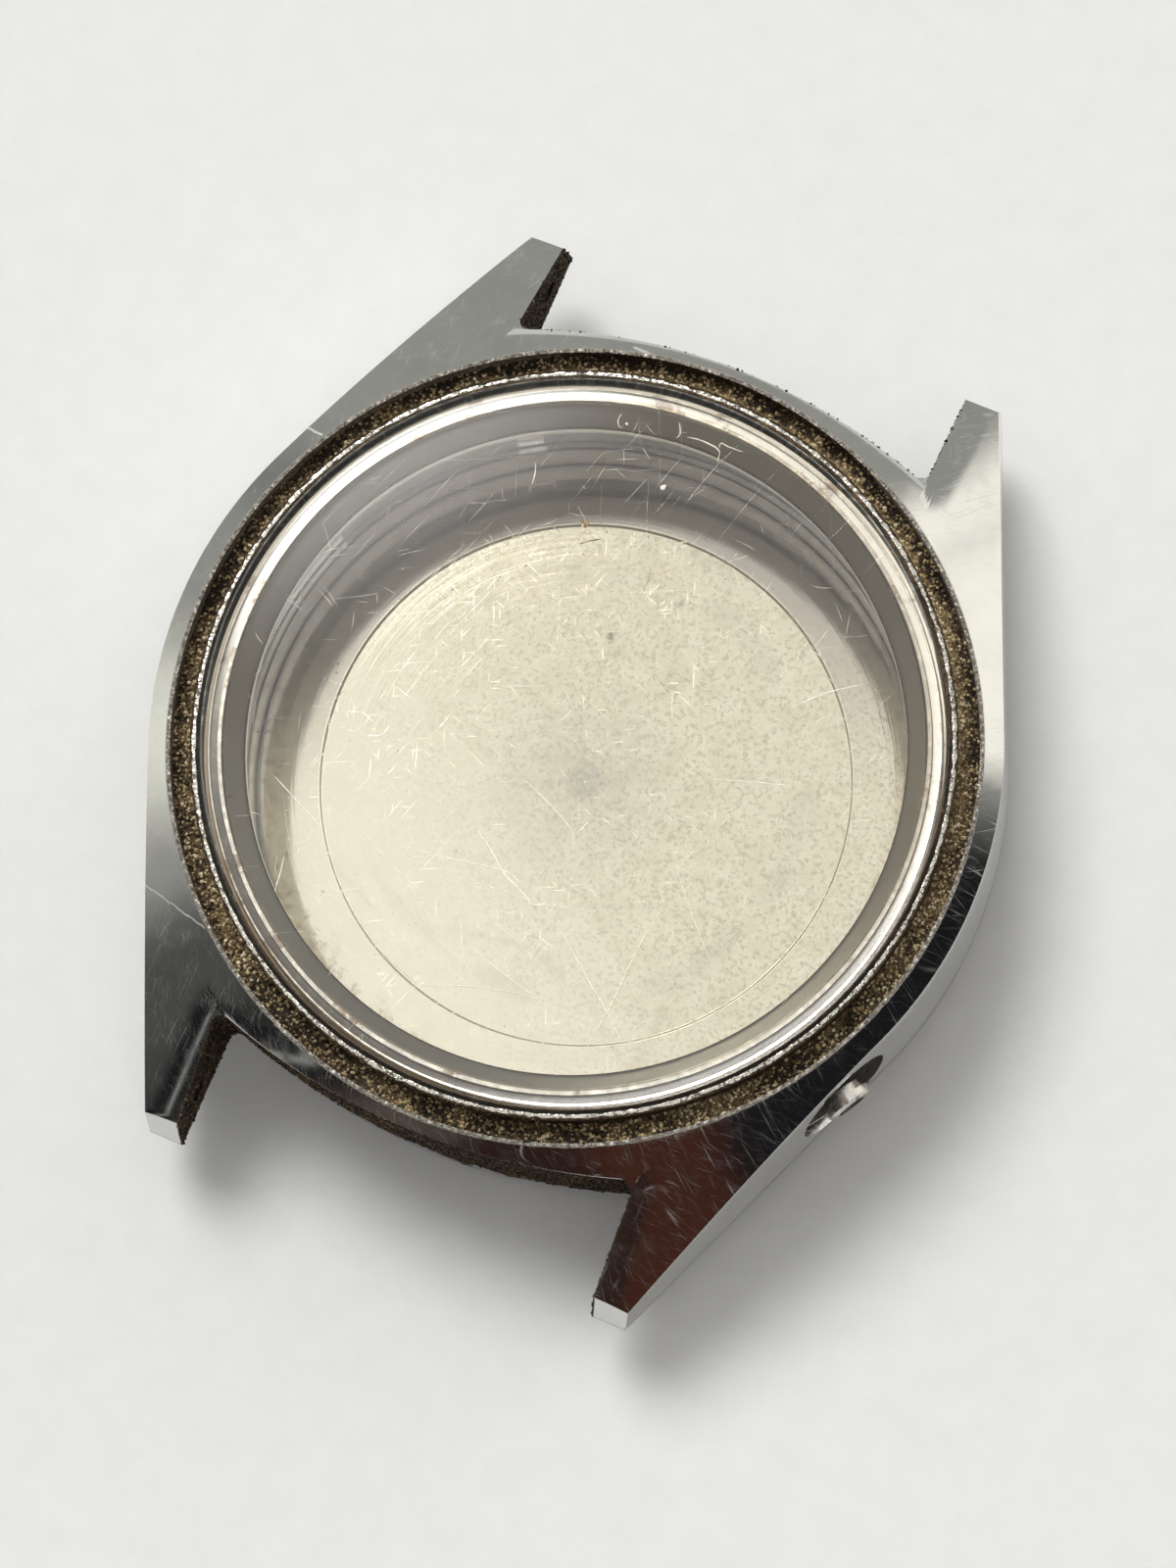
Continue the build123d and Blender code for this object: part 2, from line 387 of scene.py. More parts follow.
def new_object(name, mesh):
    """An object at the origin that shows this mesh."""
    made = bpy.data.objects.new(name, mesh)
    bpy.context.scene.collection.objects.link(made)
    return made


def mesh_from(name, points, faces):
    """A mesh from points in millimetres, smooth but for edges that turn by more than 32 degrees."""
    mesh = bpy.data.meshes.new(name)
    mesh.from_pydata([Vector(point) * MM for point in points], [], faces)
    work = bmesh.new()
    work.from_mesh(mesh)
    bmesh.ops.remove_doubles(work, verts=work.verts, dist=1e-7)
    bmesh.ops.recalc_face_normals(work, faces=work.faces)
    work.to_mesh(mesh)
    work.free()
    mesh.shade_smooth()
    mesh.set_sharp_from_angle(angle=math.radians(32))
    return mesh


def loft(rings):
    """Faces of a closed tube through rings of equal length; the last ring joins the first."""
    count, size = len(rings), len(rings[0])
    points = [point for ring in rings for point in ring]
    faces = []
    for ring in range(count):
        after = (ring + 1) % count
        for k in range(size):
            next_k = (k + 1) % size
            faces.append((ring * size + k, ring * size + next_k, after * size + next_k, after * size + k))
    return points, faces


def lathe(name, profile, steps=288, closed=True):
    """A turned piece: a profile of (radius, height) points spun round the Z axis."""
    rings = []
    for step in range(steps):
        turn = 2 * math.pi * step / steps
        rings.append([(r * math.cos(turn), r * math.sin(turn), z) for r, z in profile])
    points, faces = loft(rings)
    if not closed:
        size = len(profile)
        faces = [face for number, face in enumerate(faces) if number % size != size - 1]
    return mesh_from(name, points, faces)


def turned_piece(name, profile, **options):
    """An object that shows a turned piece."""
    return new_object(name, lathe(name, profile, **options))


def baked(made):
    """The object's modifiers turned into a plain mesh."""
    depsgraph = bpy.context.evaluated_depsgraph_get()
    mesh = bpy.data.meshes.new_from_object(made.evaluated_get(depsgraph), depsgraph=depsgraph)
    made.modifiers.clear()
    made.data = mesh
    return made


def evenly_shaded(made):
    """Keeps the light even over large faces, up to the edges that are marked as sharp."""
    even = made.modifiers.new("even", "WEIGHTED_NORMAL")
    even.keep_sharp = True
    return baked(made)


# %% [markdown]
# ## Case middle
#
# The case middle is one turned and milled piece. Round its edge each section is a closed loop: up the
# barrel, out under the lug, up the flank, in over the sloping top, down the groove, over the lip and down
# through the seat to the chamber. Lofting one such section for each station round the outline gives clean
# rows of quads, so the polished slope has no facets, and a bevel of a few hundredths of a millimetre gives
# each edge the thin bright line that polishing leaves.

# %% The outline of the case middle, station by station


def flank_plan(z):
    """Radius of the flank at that height: it leans inwards going up."""
    return flank_radius - (z - lug_underside) * math.tan(flank_lean)


def end_plan(z):
    """How far the lug's end face reaches at that height."""
    return lug_reach - (z - lug_underside) * math.tan(lug_end_lean)


def lug_corner(z):
    """Outer corner of the lug's end in plan."""
    y = end_plan(z)
    return Vector(((flank_plan(z) - y * math.sin(flank_angle)) / math.cos(flank_angle), y))


# Each of these takes a share from 0 to 1 of its stretch and returns a place for every height.


def on_flank_arc(share):
    angle = flank_angle * share
    return lambda z: flank_plan(z) * Vector((math.cos(angle), math.sin(angle)))


def on_flank_line(share):
    def place(z):
        start = flank_plan(z) * Vector((math.cos(flank_angle), math.sin(flank_angle)))
        return start.lerp(lug_corner(z), share)
    return place


def on_lug_end(share):
    return lambda z: lug_corner(z).lerp(Vector((half_gap, end_plan(z))), share)


def root_fillet():
    """Centre, start and end angle of the small curve between the lug's inner face and the end wall."""
    x = half_gap - lug_root_radius
    y = end_wall_centre + math.sqrt((end_wall_radius + lug_root_radius) ** 2 - x**2)
    return Vector((x, y)), 0.0, math.atan2(y - end_wall_centre, x) - math.pi


root_centre, root_start, root_end = root_fillet()
wall_start = math.atan2(root_centre.y - end_wall_centre, root_centre.x)


def on_inner_face(share):
    return lambda z: Vector((half_gap, end_plan(z) + (root_centre.y - end_plan(z)) * share))


def on_root(share):
    angle = root_start + (root_end - root_start) * share
    return lambda z: root_centre + lug_root_radius * Vector((math.cos(angle), math.sin(angle)))


def on_end_wall(share):
    angle = wall_start + (math.pi / 2 - wall_start) * share
    return lambda z: Vector((end_wall_radius * math.cos(angle),
                             end_wall_centre + end_wall_radius * math.sin(angle)))


def quarter_stations():
    """(place, azimuth on the groove) for a quarter turn from 3 o'clock to 12 o'clock."""
    corner_turn, inner_turn, root_turn = (math.radians(angle) for angle in (52.0, 53.4, 56.2))
    root_spot = on_root(1.0)(lug_underside)
    wall_turn = math.atan2(root_spot.y, root_spot.x)
    stations = []
    for place, steps, start, end in (
        (on_flank_arc, 44, 0.0, flank_angle),
        (on_flank_line, 76, flank_angle, corner_turn),
        (on_lug_end, 24, corner_turn, inner_turn),
        (on_inner_face, 28, inner_turn, root_turn),
        (on_root, 10, root_turn, wall_turn),
    ):
        for k in range(steps):
            stations.append((place(k / steps), start + (end - start) * k / steps))
    wall_steps = 60
    for k in range(wall_steps + 1):
        place = on_end_wall(k / wall_steps)
        spot = place(lug_underside)
        stations.append((place, math.atan2(spot.y, spot.x)))
    return stations


# %% One section of the case middle


def slope_height(spot):
    """Height of the top there. Polishing rolls it over a little just before the strap gap."""
    beside = max(0.0, spot.x - half_gap)
    behind = 2.5 * max(0.0, end_wall_radius - math.hypot(spot.x, spot.y - end_wall_centre))
    near_gap = max(0.0, 1 - math.hypot(beside, behind) / roll_reach) ** 2
    outwards = spot.length - land_radius
    drop = roll_slope * roll_reach / 2 * near_gap * min(1.0, outwards / roll_reach)
    return edge_height - outwards * math.tan(top_slope) - drop


def top_of(place):
    """Where the wall at this station meets the sloping top."""
    z = edge_height
    for _ in range(40):
        z = slope_height(place(z))
    return z


WALL_ROWS, SLOPE_ROWS = 8, 18


def section(place, turn):
    """Points of one section in millimetres, for the first quarter."""
    round_way = Vector((math.cos(turn), math.sin(turn)))
    foot = place(lug_underside)
    on_wall = abs(math.atan2(foot.y, foot.x) - turn) < 1e-6 and foot.length < barrel_radius
    barrel = foot.length if on_wall else barrel_radius
    chamfer = barrel_radius - 0.3
    rows = [
        (*(round_way * chamfer), middle_bottom),
        (*(round_way * barrel), middle_bottom + barrel - chamfer),
        (*(round_way * barrel), lug_underside),
    ]
    top = top_of(place)
    for k in range(WALL_ROWS + 1):
        z = lug_underside + (top - lug_underside) * k / WALL_ROWS
        rows.append((*place(z), z))
    edge = place(top)
    land = round_way * land_radius
    for k in range(1, SLOPE_ROWS):
        spot = edge.lerp(land, (k / SLOPE_ROWS) ** 1.3)
        rows.append((*spot, slope_height(spot)))
    inner = [
        (land_radius, edge_height),
        (groove_radius, edge_height),
        (groove_radius, groove_floor),
        (lip_radius, groove_floor),
        (lip_radius, lip_top),
        (seat_radius, lip_top),
        (seat_radius, seat_height),
        (aperture_radius, seat_height),
        (aperture_radius, ledge_bottom),
        (chamber_radius, ledge_bottom),
        (chamber_radius, thread_top),
        (thread_radius, thread_top),
        (thread_radius, middle_bottom),
    ]
    return rows + [(*(round_way * radius), z) for radius, z in inner]


def case_sections():
    """All the sections of a full turn: each quarter mirrors its neighbour."""
    quarter = [section(place, turn) for place, turn in quarter_stations()]
    sections = []
    for x_side, y_side in ((1, 1), (-1, 1), (-1, -1), (1, -1)):
        part = [[(x * x_side, y * y_side, z) for x, y, z in row] for row in quarter]
        if x_side != y_side:
            part.reverse()
        sections += part[:-1]
    return sections


# %% Loft the case middle and soften its edges


def rounded_edges(made, width):
    """A bevel of that width in millimetres on each edge that turns by more than 24 degrees."""
    bevel = made.modifiers.new("edge_round", "BEVEL")
    bevel.limit_method = "ANGLE"
    bevel.angle_limit = math.radians(24)
    bevel.width = width * MM
    bevel.segments = 2
    return bevel


sections = case_sections()
middle_points, middle_faces = loft(sections)
mid_case = new_object("case_middle", mesh_from("case_middle", middle_points, middle_faces))
# Two empty material slots, so that the bevel can put its own faces on the second and mark them as worn.
rounded_edges(mid_case, 0.07).material = 1
for _ in range(2):
    mid_case.data.materials.append(None)
print("sections round the case middle:", len(sections))

# %% Bore the crown's recess, the tube's hole and the strap-bar holes
crown_angle = math.radians(-30)
crown_way = Vector((math.cos(crown_angle), math.sin(crown_angle), 0))
crown_base = Vector((0, 0, middle_bottom + 4.4))
recess_radius = 2.3
recess_floor = flank_radius - 0.6
tube_hole_radius = 0.92
bar_hole_radius = 0.55
bar_hole_y = lug_reach - 2.4
bar_hole_z = lug_underside + 1.55


def rod(start, way, radius, length, sides=64):
    """Points and faces of a closed cylinder in millimetres."""
    across = way.orthogonal().normalized()
    third = way.cross(across)
    ends = []
    for far in (0, length):
        ends.append([start + way * far + radius * (math.cos(2 * math.pi * k / sides) * across
                     + math.sin(2 * math.pi * k / sides) * third) for k in range(sides)])
    faces = [tuple(range(sides))[::-1], tuple(range(sides, 2 * sides))]
    faces += [(k, (k + 1) % sides, sides + (k + 1) % sides, sides + k) for k in range(sides)]
    return ends[0] + ends[1], faces


def cut_out(target, cutters):
    """Cuts each of the cutters out of the target when its modifiers are next baked."""
    for cutter in cutters:
        cutter.hide_render = True
        cut = target.modifiers.new("cut", "BOOLEAN")
        cut.operation = "DIFFERENCE"
        cut.solver = "EXACT"
        cut.object = cutter


def throw_away(cutters):
    """Removes cutters that have done their work."""
    for cutter in cutters:
        bpy.data.objects.remove(cutter)


rods = [
    rod(crown_base + crown_way * recess_floor, crown_way, recess_radius, 4.0, 128),
    rod(crown_base + crown_way * (aperture_radius - 1), crown_way, tube_hole_radius, 4.6),
]
for x_side in (1, -1):
    for y_side in (1, -1):
        start = Vector((x_side * (half_gap - 1), y_side * bar_hole_y, bar_hole_z))
        rods.append(rod(start, Vector((x_side, 0, 0)), bar_hole_radius, 2.0, 48))
drills = [new_object("drill", mesh_from("drill", points, faces)) for points, faces in rods]
cut_out(mid_case, drills)
baked(mid_case)
mid_case.data.set_sharp_from_angle(angle=math.radians(40))
evenly_shaded(mid_case)
throw_away(drills)

# %% Mark the worn edges
on_edge = [0] * len(mid_case.data.polygons)
mid_case.data.polygons.foreach_get("material_index", on_edge)
edge_wear = mid_case.data.attributes.new("edge_wear", "FLOAT", "FACE")
edge_wear.data.foreach_set("value", [float(slot == 1) for slot in on_edge])
mid_case.data.polygons.foreach_set("material_index", [0] * len(on_edge))
print("case middle faces:", len(on_edge), "of them on worn edges:", on_edge.count(1))

# %% [markdown]
# ## Turned pieces
#
# Crystal, ring, back, gasket and tube are all made on a lathe, so each is a profile spun round an axis. The
# crystal's rim is a quarter of an ellipse. The ring has a shallow trough in its top, where grease has set.
# The back gets six notches for the key that screws it home.

# %% Crystal
plate_bottom = crystal_top - 1.1
skirt_bore = crystal_radius - 0.37
shoulder_width, shoulder_drop = 1.05, 0.55
flat_radius = crystal_radius - shoulder_width
crystal_profile = [(0.0, crystal_top), (flat_radius - 0.4, crystal_top), (flat_radius - 0.1, crystal_top)]
for k in range(13):
    turn = math.radians(90) * k / 12
    crystal_profile.append((flat_radius + shoulder_width * math.sin(turn),
                            crystal_top - shoulder_drop + shoulder_drop * math.cos(turn)))
crystal_profile += [(crystal_radius, seat_height), (skirt_bore, seat_height),
                    (skirt_bore, plate_bottom), (0.0, plate_bottom)]
crystal = turned_piece("crystal_clear", crystal_profile, closed=False)

# %% Ring
ring_radius, ring_top = ring_high.x, ring_high.z
ring_steps = (
    (0.0, 0.12), (0.075, 0.12), (0.095, 0.0), (0.14, 0.0), (0.16, 0.13),
    (0.37, 0.13), (0.40, 0.0), (0.53, 0.0), (0.57, 0.06),
)
ring_profile = [(ring_radius, seat_height)]
ring_profile += [(ring_radius - inwards, ring_top - down) for inwards, down in ring_steps]
ring_profile.append((ring_radius - 1.27, seat_height))
tension_ring = turned_piece("ring_inside_crystal", ring_profile)

# %% Back with its key notches
back_radius = back_high.x
back_flat_radius = back_radius - 3.2
bevel_top, flange_top = 0.8, 1.6
gasket_seat, gasket_seat_radius = 1.18, thread_radius + 0.55
skirt_top, skirt_radius, skirt_inside = 3.2, thread_radius - 0.05, thread_radius - 0.75
inner_floor, step_top, step_radius = 0.9, 1.0, 11.7
back_profile = [
    (0.0, 0.0), (back_flat_radius, 0.0), (back_radius, bevel_top), (back_radius, flange_top),
    (gasket_seat_radius, flange_top), (gasket_seat_radius, gasket_seat), (skirt_radius, gasket_seat),
    (skirt_radius, skirt_top), (skirt_inside, skirt_top), (skirt_inside, step_top),
    (11.95, step_top), (11.83, step_top), (11.74, step_top),
    (step_radius, inner_floor), (11.6, inner_floor), (11.45, inner_floor), (0.0, inner_floor),
]
case_back = turned_piece("screwed_back", back_profile, closed=False)
rounded_edges(case_back, 0.04)
notches = []
for number in range(6):
    block = bmesh.new()
    bmesh.ops.create_cube(block, size=1.0)
    bmesh.ops.scale(block, vec=Vector((3.1, 2.8, 2.0)) * MM, verts=block.verts)
    bmesh.ops.translate(block, vec=Vector((back_radius + 0.45, 0, 0)) * MM, verts=block.verts)
    bmesh.ops.rotate(block, matrix=Matrix.Rotation(math.radians(60 * number), 3, "Z"), verts=block.verts)
    notches.append(new_object("notch", bpy.data.meshes.new("notch")))
    block.to_mesh(notches[-1].data)
    block.free()
cut_out(case_back, notches)
evenly_shaded(case_back)
throw_away(notches)
print("the back has", len(case_back.data.polygons), "faces and", len(notches), "notches")

# %% Gasket
gasket_radius, gasket_inside = gasket_high.x, gasket_high.x - 0.5
gasket_profile = [(gasket_inside, gasket_low.z), (gasket_radius, gasket_low.z),
                  (gasket_radius, gasket_high.z), (gasket_inside, gasket_high.z)]
gasket = turned_piece("gasket_ring", gasket_profile)

# %% Crown tube, turned upright and then laid along its own axis
tube_bore, tube_wall, tube_collar = 0.65, 0.9, 1.08
tube_start, tube_end = 15.0, recess_floor + 1.1
tube_profile = [(tube_bore, tube_start), (tube_bore, tube_end), (0.93, tube_end),
                (tube_collar, tube_end - 0.12), (tube_collar, tube_end - 0.4),
                (tube_wall, tube_end - 0.4), (tube_wall, tube_start)]
crown_tube = turned_piece("crown_tube_turned", tube_profile, steps=96)
tube_way = Matrix.Translation(crown_base * MM) @ crown_way.to_track_quat("Z", "Y").to_matrix().to_4x4()
crown_tube.data.transform(tube_way)

# %% [markdown]
# ## Steel of the case middle
#
# Polished stainless steel is nearly all reflection, so its colour stays one even pale grey and the wear is
# what is drawn: hairlines that catch the light, a faint ripple left by hand polishing, and old dirt where
# a cloth never reaches. Where that is follows from the position: in the groove, between the lugs, in the
# crown's recess and in the gap round the crystal. In the recess the same dark colour is also painted shade,
# in its corner towards 6 o'clock and low on its wall.

# %% Case steel: where a cloth doesn't reach, and painted shade in the crown's recess


def case_dirt_and_shade_places(graph, at):
    """A mask for the dirt between the lugs, in the groove, at the lip, in the recess and in the holes, and
    for painted shade in the recess.
    """
    side = graph.math("ABSOLUTE", at["x"])
    along = graph.math("ABSOLUTE", at["y"])
    upright = graph.fade(at["up"], 0.2, 0.4)
    gap = graph.fade(side, half_gap + 0.05, half_gap + 0.1)
    gap = graph.times(gap, graph.ease(along, 15.2, 15.6), upright)
    reach = graph.plus(at["z"], graph.times(graph.noise(at["spot"], 0.8, 4.0), 6.0))
    gap = graph.times(gap, graph.ease(reach, 5.4, 6.1))
    groove = graph.times(graph.band(at["radius"], lip_radius, groove_radius, 0.03),
                         graph.fade(at["z"], edge_height - 0.16, edge_height - 0.04))
    wander = graph.times(graph.noise(at["spot"], 1.6, 5.0, 0.7), 0.34)
    lip_line = graph.math("ABSOLUTE", graph.minus(at["radius"], (lip_radius + seat_radius) / 2))
    lip_line = graph.ease(graph.plus(lip_line, wander), 0.22, 0.27)
    seat = graph.times(graph.band(at["radius"], seat_radius - 0.1, lip_radius + 0.06, 0.03), lip_line)
    # dirt round the crown tube, and painted shade in the recess's corner and low on its wall
    recess = crown_recess_dirt_and_shade(graph, at["spot"])
    foot = graph.times(graph.band(at["radius"], aperture_radius - 0.05, aperture_radius + 0.3, 0.02),
                       graph.ease(at["z"], seat_height - 0.22, seat_height - 0.12))
    hole_reach = bar_hole_radius + 0.01
    holes = graph.times(graph.band(along, bar_hole_y - hole_reach, bar_hole_y + hole_reach, 0.02),
                        graph.band(side, half_gap, half_gap + 1.05, 0.02),
                        graph.band(at["z"], bar_hole_z - 0.6, bar_hole_z + 0.6, 0.02))
    return graph.most(gap, groove, seat, recess, holes, foot)


def crown_recess_dirt_and_shade(graph, spot):
    """Dirt round the crown tube, and painted shade in the recess's corner towards 6 o'clock and low on its
    wall.
    """
    out = graph.towards(spot, tuple(crown_way))
    on_axis = graph.vector("MULTIPLY", graph.join(out, out, 0.0), tuple(crown_way))
    beside = graph.vector("SUBTRACT", graph.vector("SUBTRACT", spot, tuple(crown_base)), on_axis)
    off_axis = graph.vector("LENGTH", beside)
    round_tube = graph.ease(off_axis, 1.6, 2.0, 1.2, 0.0)
    to_six = graph.towards(spot, (crown_way.y, -crown_way.x, 0.0))
    # painted shade in the recess's corner towards 6 o'clock
    corner = graph.times(graph.ease(to_six, 0.2, 0.6),
                         graph.fade(out, recess_floor - 0.1, recess_floor + 0.1))
    # painted shade low on the recess's wall
    low_wall_shade = graph.times(graph.band(off_axis, recess_radius - 0.06, recess_radius + 0.06, 0.02),
                           graph.ease(out, recess_floor + 0.45, recess_floor + 0.5, 0.85, 0.0))
    return graph.times(graph.most(round_tube, corner, low_wall_shade), graph.ease(out, 15.5, 16.0),
                       graph.fade(off_axis, recess_radius + 0.01, recess_radius + 0.05))


# %% Case steel: its wear and its finish
deep_scratches = (
    ((-14.62, -12.25, 0.0), (-11.14, -13.12, 0.0), 0.05),
    ((-16.2, 8.6, 0.0), (-15.2, 8.4, 0.0), 0.10),
    ((-4.2, 16.95, 0.0), (-2.1, 16.75, 0.0), 0.12),
)


def grimy_and_shaded_steel(name, tone, dirt_and_shade_places):
    """Polished steel with hairlines, and dark dirt and painted shade where the mask made by
    dirt_and_shade_places says.
    """
    material, graph, spot = material_graph(name)
    x, y, z = graph.split(spot)
    radius = graph.from_axis(x, y)
    normal = graph.add("ShaderNodeTexCoord").outputs["Normal"]
    where_dirty_or_shaded = dirt_and_shade_places(graph, dict(spot=spot, x=x, y=y, z=z, radius=radius, up=graph.split(normal)[2]))
    dirt = use(graph, grime, Position=spot, Size=0.9, Cover=0.95)
    mask = graph.times(where_dirty_or_shaded, dirt["Mask"], clamp=True)
    specks = graph.noise(spot, 5.0, 4.0, 0.75)
    nicks = graph.times(graph.band(radius, lip_radius - 0.4, lip_radius + 0.05, 0.03),
                        graph.ease(specks, 0.50, 0.66, 0.15, 0.85))
    film = graph.times(graph.band(radius, groove_radius - 0.05, land_radius + 0.02, 0.03),
                       graph.ease(specks, 0.35, 0.65, 0.45, 0.9))
    mask = graph.most(mask, graph.most(nicks, film))
    edge = graph.times(graph.attribute("edge_wear"), graph.ease(specks, 0.3, 0.6, 0.5, 1.0))
    bare = graph.times(edge, graph.ease(radius, land_radius - 0.01, land_radius + 0.05))
    mask = graph.times(mask, graph.minus(1.0, bare))
    fine = use(graph, hairlines, Position=spot, Spacing=0.11, Width=0.16, Length=0.7)["Lines"]
    elsewhere = graph.vector("ADD", spot, (50.0, 20.0, 0.0))
    coarse = use(graph, hairlines, Position=elsewhere, Spacing=0.6, Width=0.022, Length=1.3)["Lines"]
    lines = graph.most(graph.times(fine, 0.7), graph.times(coarse, 0.6))
    shake = graph.times(graph.noise(spot, 3.0, 3.0), 0.12)
    shaken = graph.join(x, graph.plus(y, shake), 0.0)
    for start, end, width in deep_scratches:
        line = use(graph, long_scratch, Position=shaken, Start=start, End=end, Width=width)["Line"]
        lines = graph.most(lines, line)
    cloud = graph.noise(spot, 0.45, 4.0)
    steel = graph.mix(graph.ease(cloud, 0.3, 0.7), tuple(c * 0.93 for c in tone), tone)
    steel = graph.mix(graph.times(lines, 0.5), steel, (0.74, 0.74, 0.72))
    in_seat = graph.band(radius, seat_radius - 0.1, land_radius + 0.05, 0.05)
    steel = graph.mix(in_seat, steel, (0.50, 0.48, 0.43))
    steel = graph.mix(edge, steel, (0.80, 0.78, 0.73))
    # the dirt's colour, which also paints the shade in the crown's recess
    dirt_and_shade_colour = graph.mix(graph.ease(dirt["Tone"], 0.3, 0.6), (0.008, 0.005, 0.003), (0.05, 0.031, 0.015))
    dirt_and_shade_colour = graph.mix(graph.ease(dirt["Tone"], 0.58, 0.70), dirt_and_shade_colour, (0.15, 0.105, 0.06))
    by_crystal = graph.band(radius, seat_radius - 0.06, seat_radius + 0.04, 0.02)
    dirt_and_shade_colour = graph.mix(by_crystal, dirt_and_shade_colour, (0.27, 0.18, 0.09))
    coat(graph, Base_Color=graph.mix(mask, steel, dirt_and_shade_colour), Specular_IOR_Level=0.2)
    scuffed = graph.most(graph.times(lines, 0.22), graph.times(edge, 0.8))
    coat(graph, Metallic=graph.minus(1.0, graph.most(mask, scuffed)))
    smear = graph.ease(graph.noise(spot, 1.3, 5.0, 0.6), 0.45, 0.75, 0.10, 0.20)
    worn = graph.plus(smear, graph.times(graph.most(lines, edge), 0.38))
    coat(graph, Roughness=graph.most(worn, graph.times(mask, 0.8)))
    ripple = graph.times(graph.noise(spot, 0.7, 1.0), 6.0)
    height = graph.minus(ripple, graph.times(lines, 0.6))
    height = graph.plus(height, graph.times(mask, graph.times(dirt["Grain"], 60.0)))
    coat(graph, Normal=graph.bump(height, 1e-6))
    return material


case_steel = grimy_and_shaded_steel("case_steel", (0.62, 0.62, 0.605), case_dirt_and_shade_places)

# %% [markdown]
# ## Steel of the screwed back
#
# The back's inner face has taken on a warm champagne tone behind the crystal. A lathe left rings on it, a
# movement rubbed against it, and its middle has a grey smudge. Dirt has crept in round the edge. A painted
# highlight lightens it towards 7 o'clock, and painted shade darkens it beyond the step towards 11 o'clock
# and along its edge by the wall. The outside is plain steel, dulled by wear.

# %% Back steel: what lies on it, and its painted highlight and shade
back_steel, graph, spot = material_graph("back_steel")
x, y, z = graph.split(spot)
radius = graph.from_axis(x, y)
inside = graph.times(graph.ease(z, 0.84, 0.88), graph.fade(radius, 14.6, 14.7))
lathe_marks = use(graph, turned_lines, Position=spot, Pitch=0.16)["Height"]
rings = use(graph, turned_lines, Position=spot, Pitch=0.5)["Height"]
fine = use(graph, hairlines, Position=spot, Spacing=0.3, Width=0.06, Length=0.9)["Lines"]
dust = graph.fade(graph.cells(spot, 1.9), 0.06, 0.13)
dust = graph.times(dust, graph.ease(graph.noise(spot, 0.6, 2.0), 0.5, 0.6))
mottle = graph.noise(spot, 0.9, 6.0, 0.65)
speckle = graph.noise(spot, 5.0, 4.0, 0.75)
# painted highlight: the inner face is lighter towards 7 o'clock, for the broad streak of light that a turned
# face reflects
painted_highlight_side = graph.ease(graph.towards(spot, (-0.6, -0.8, 0.0)), -2.0, 11.0, 0.0, 0.8)
smudge = graph.times(graph.fade(radius, 0.5, 1.35), graph.ease(speckle, 0.3, 0.6, 0.35, 0.75))
haze = graph.ease(radius, 0.8, 5.5, 0.22, 0.0)
rubbed = graph.times(graph.band(radius, 9.1, 10.1, 0.25),
                     graph.ease(graph.noise(spot, 0.35, 2.0), 0.45, 0.7, 0.0, 0.22))
rim_dirt = graph.times(graph.ease(radius, 13.25, 13.5),
                       graph.ease(graph.noise(spot, 2.2, 6.0, 0.7), 0.45, 0.7))
# painted shade: beyond the step the floor is darker towards 11 o'clock
shaded_far_side = graph.ease(graph.towards(spot, (-0.4, 0.9, 0.0)), -2.0, 9.0, 0.0, 0.85)
painted_shade_band = graph.times(graph.ease(radius, step_radius + 0.05, step_radius + 0.2), shaded_far_side)
on_step = graph.band(radius, step_radius - 0.04, step_radius + 0.08, 0.03)

# %% Back steel: its colours, from the bare metal upwards, with painted highlight and shade among them
champagne = graph.layered(
    graph.mix(graph.ease(mottle, 0.32, 0.68), (0.69, 0.645, 0.51), (0.76, 0.715, 0.585)),
    (graph.ease(speckle, 0.49, 0.62, 0.0, 0.75), (0.45, 0.41, 0.31)),
    (graph.times(fine, 0.35), (0.92, 0.89, 0.80)),
    (painted_highlight_side, (0.87, 0.83, 0.71)),
    (graph.most(smudge, haze), (0.40, 0.385, 0.34)),
    (rubbed, (0.47, 0.45, 0.38)),
    (painted_shade_band, (0.40, 0.37, 0.345)),
    # painted shade: the floor's edge and the wall round it are darkened
    (graph.ease(radius, 14.3, 14.5), (0.25, 0.24, 0.225)),
    (graph.times(on_step, 0.5), (0.74, 0.70, 0.58)),
    (graph.times(rim_dirt, 0.55), (0.24, 0.17, 0.10)),
    (graph.times(dust, 0.6), (0.30, 0.26, 0.18)),
)
outside = graph.mix(graph.ease(mottle, 0.3, 0.7), (0.55, 0.55, 0.53), (0.64, 0.64, 0.62))

# %% Back steel: its finish
covered = graph.most(dust, graph.times(rim_dirt, 0.2))
scuffed = graph.most(graph.times(fine, 0.25), graph.times(on_step, 0.3))
dull_outside = graph.ease(inside, 0.0, 1.0, 0.12, 0.0)
worn_side = graph.ease(graph.towards(spot, (0.9, -0.44, 0.0)), 2.0, 7.0, 1.2, 4.5)
height = graph.plus(graph.times(lathe_marks, worn_side), graph.times(rings, 3.0),
                    graph.times(mottle, 0.6), graph.times(speckle, 0.4))
coat(graph, Base_Color=graph.mix(inside, outside, champagne),
     Metallic=graph.ease(covered, 0.0, 1.0, 0.9, 0.3),
     Roughness=graph.plus(graph.ease(speckle, 0.35, 0.8, 0.05, 0.12), scuffed, dull_outside),
     Normal=graph.bump(graph.minus(height, graph.times(fine, 0.3)), 1e-6))

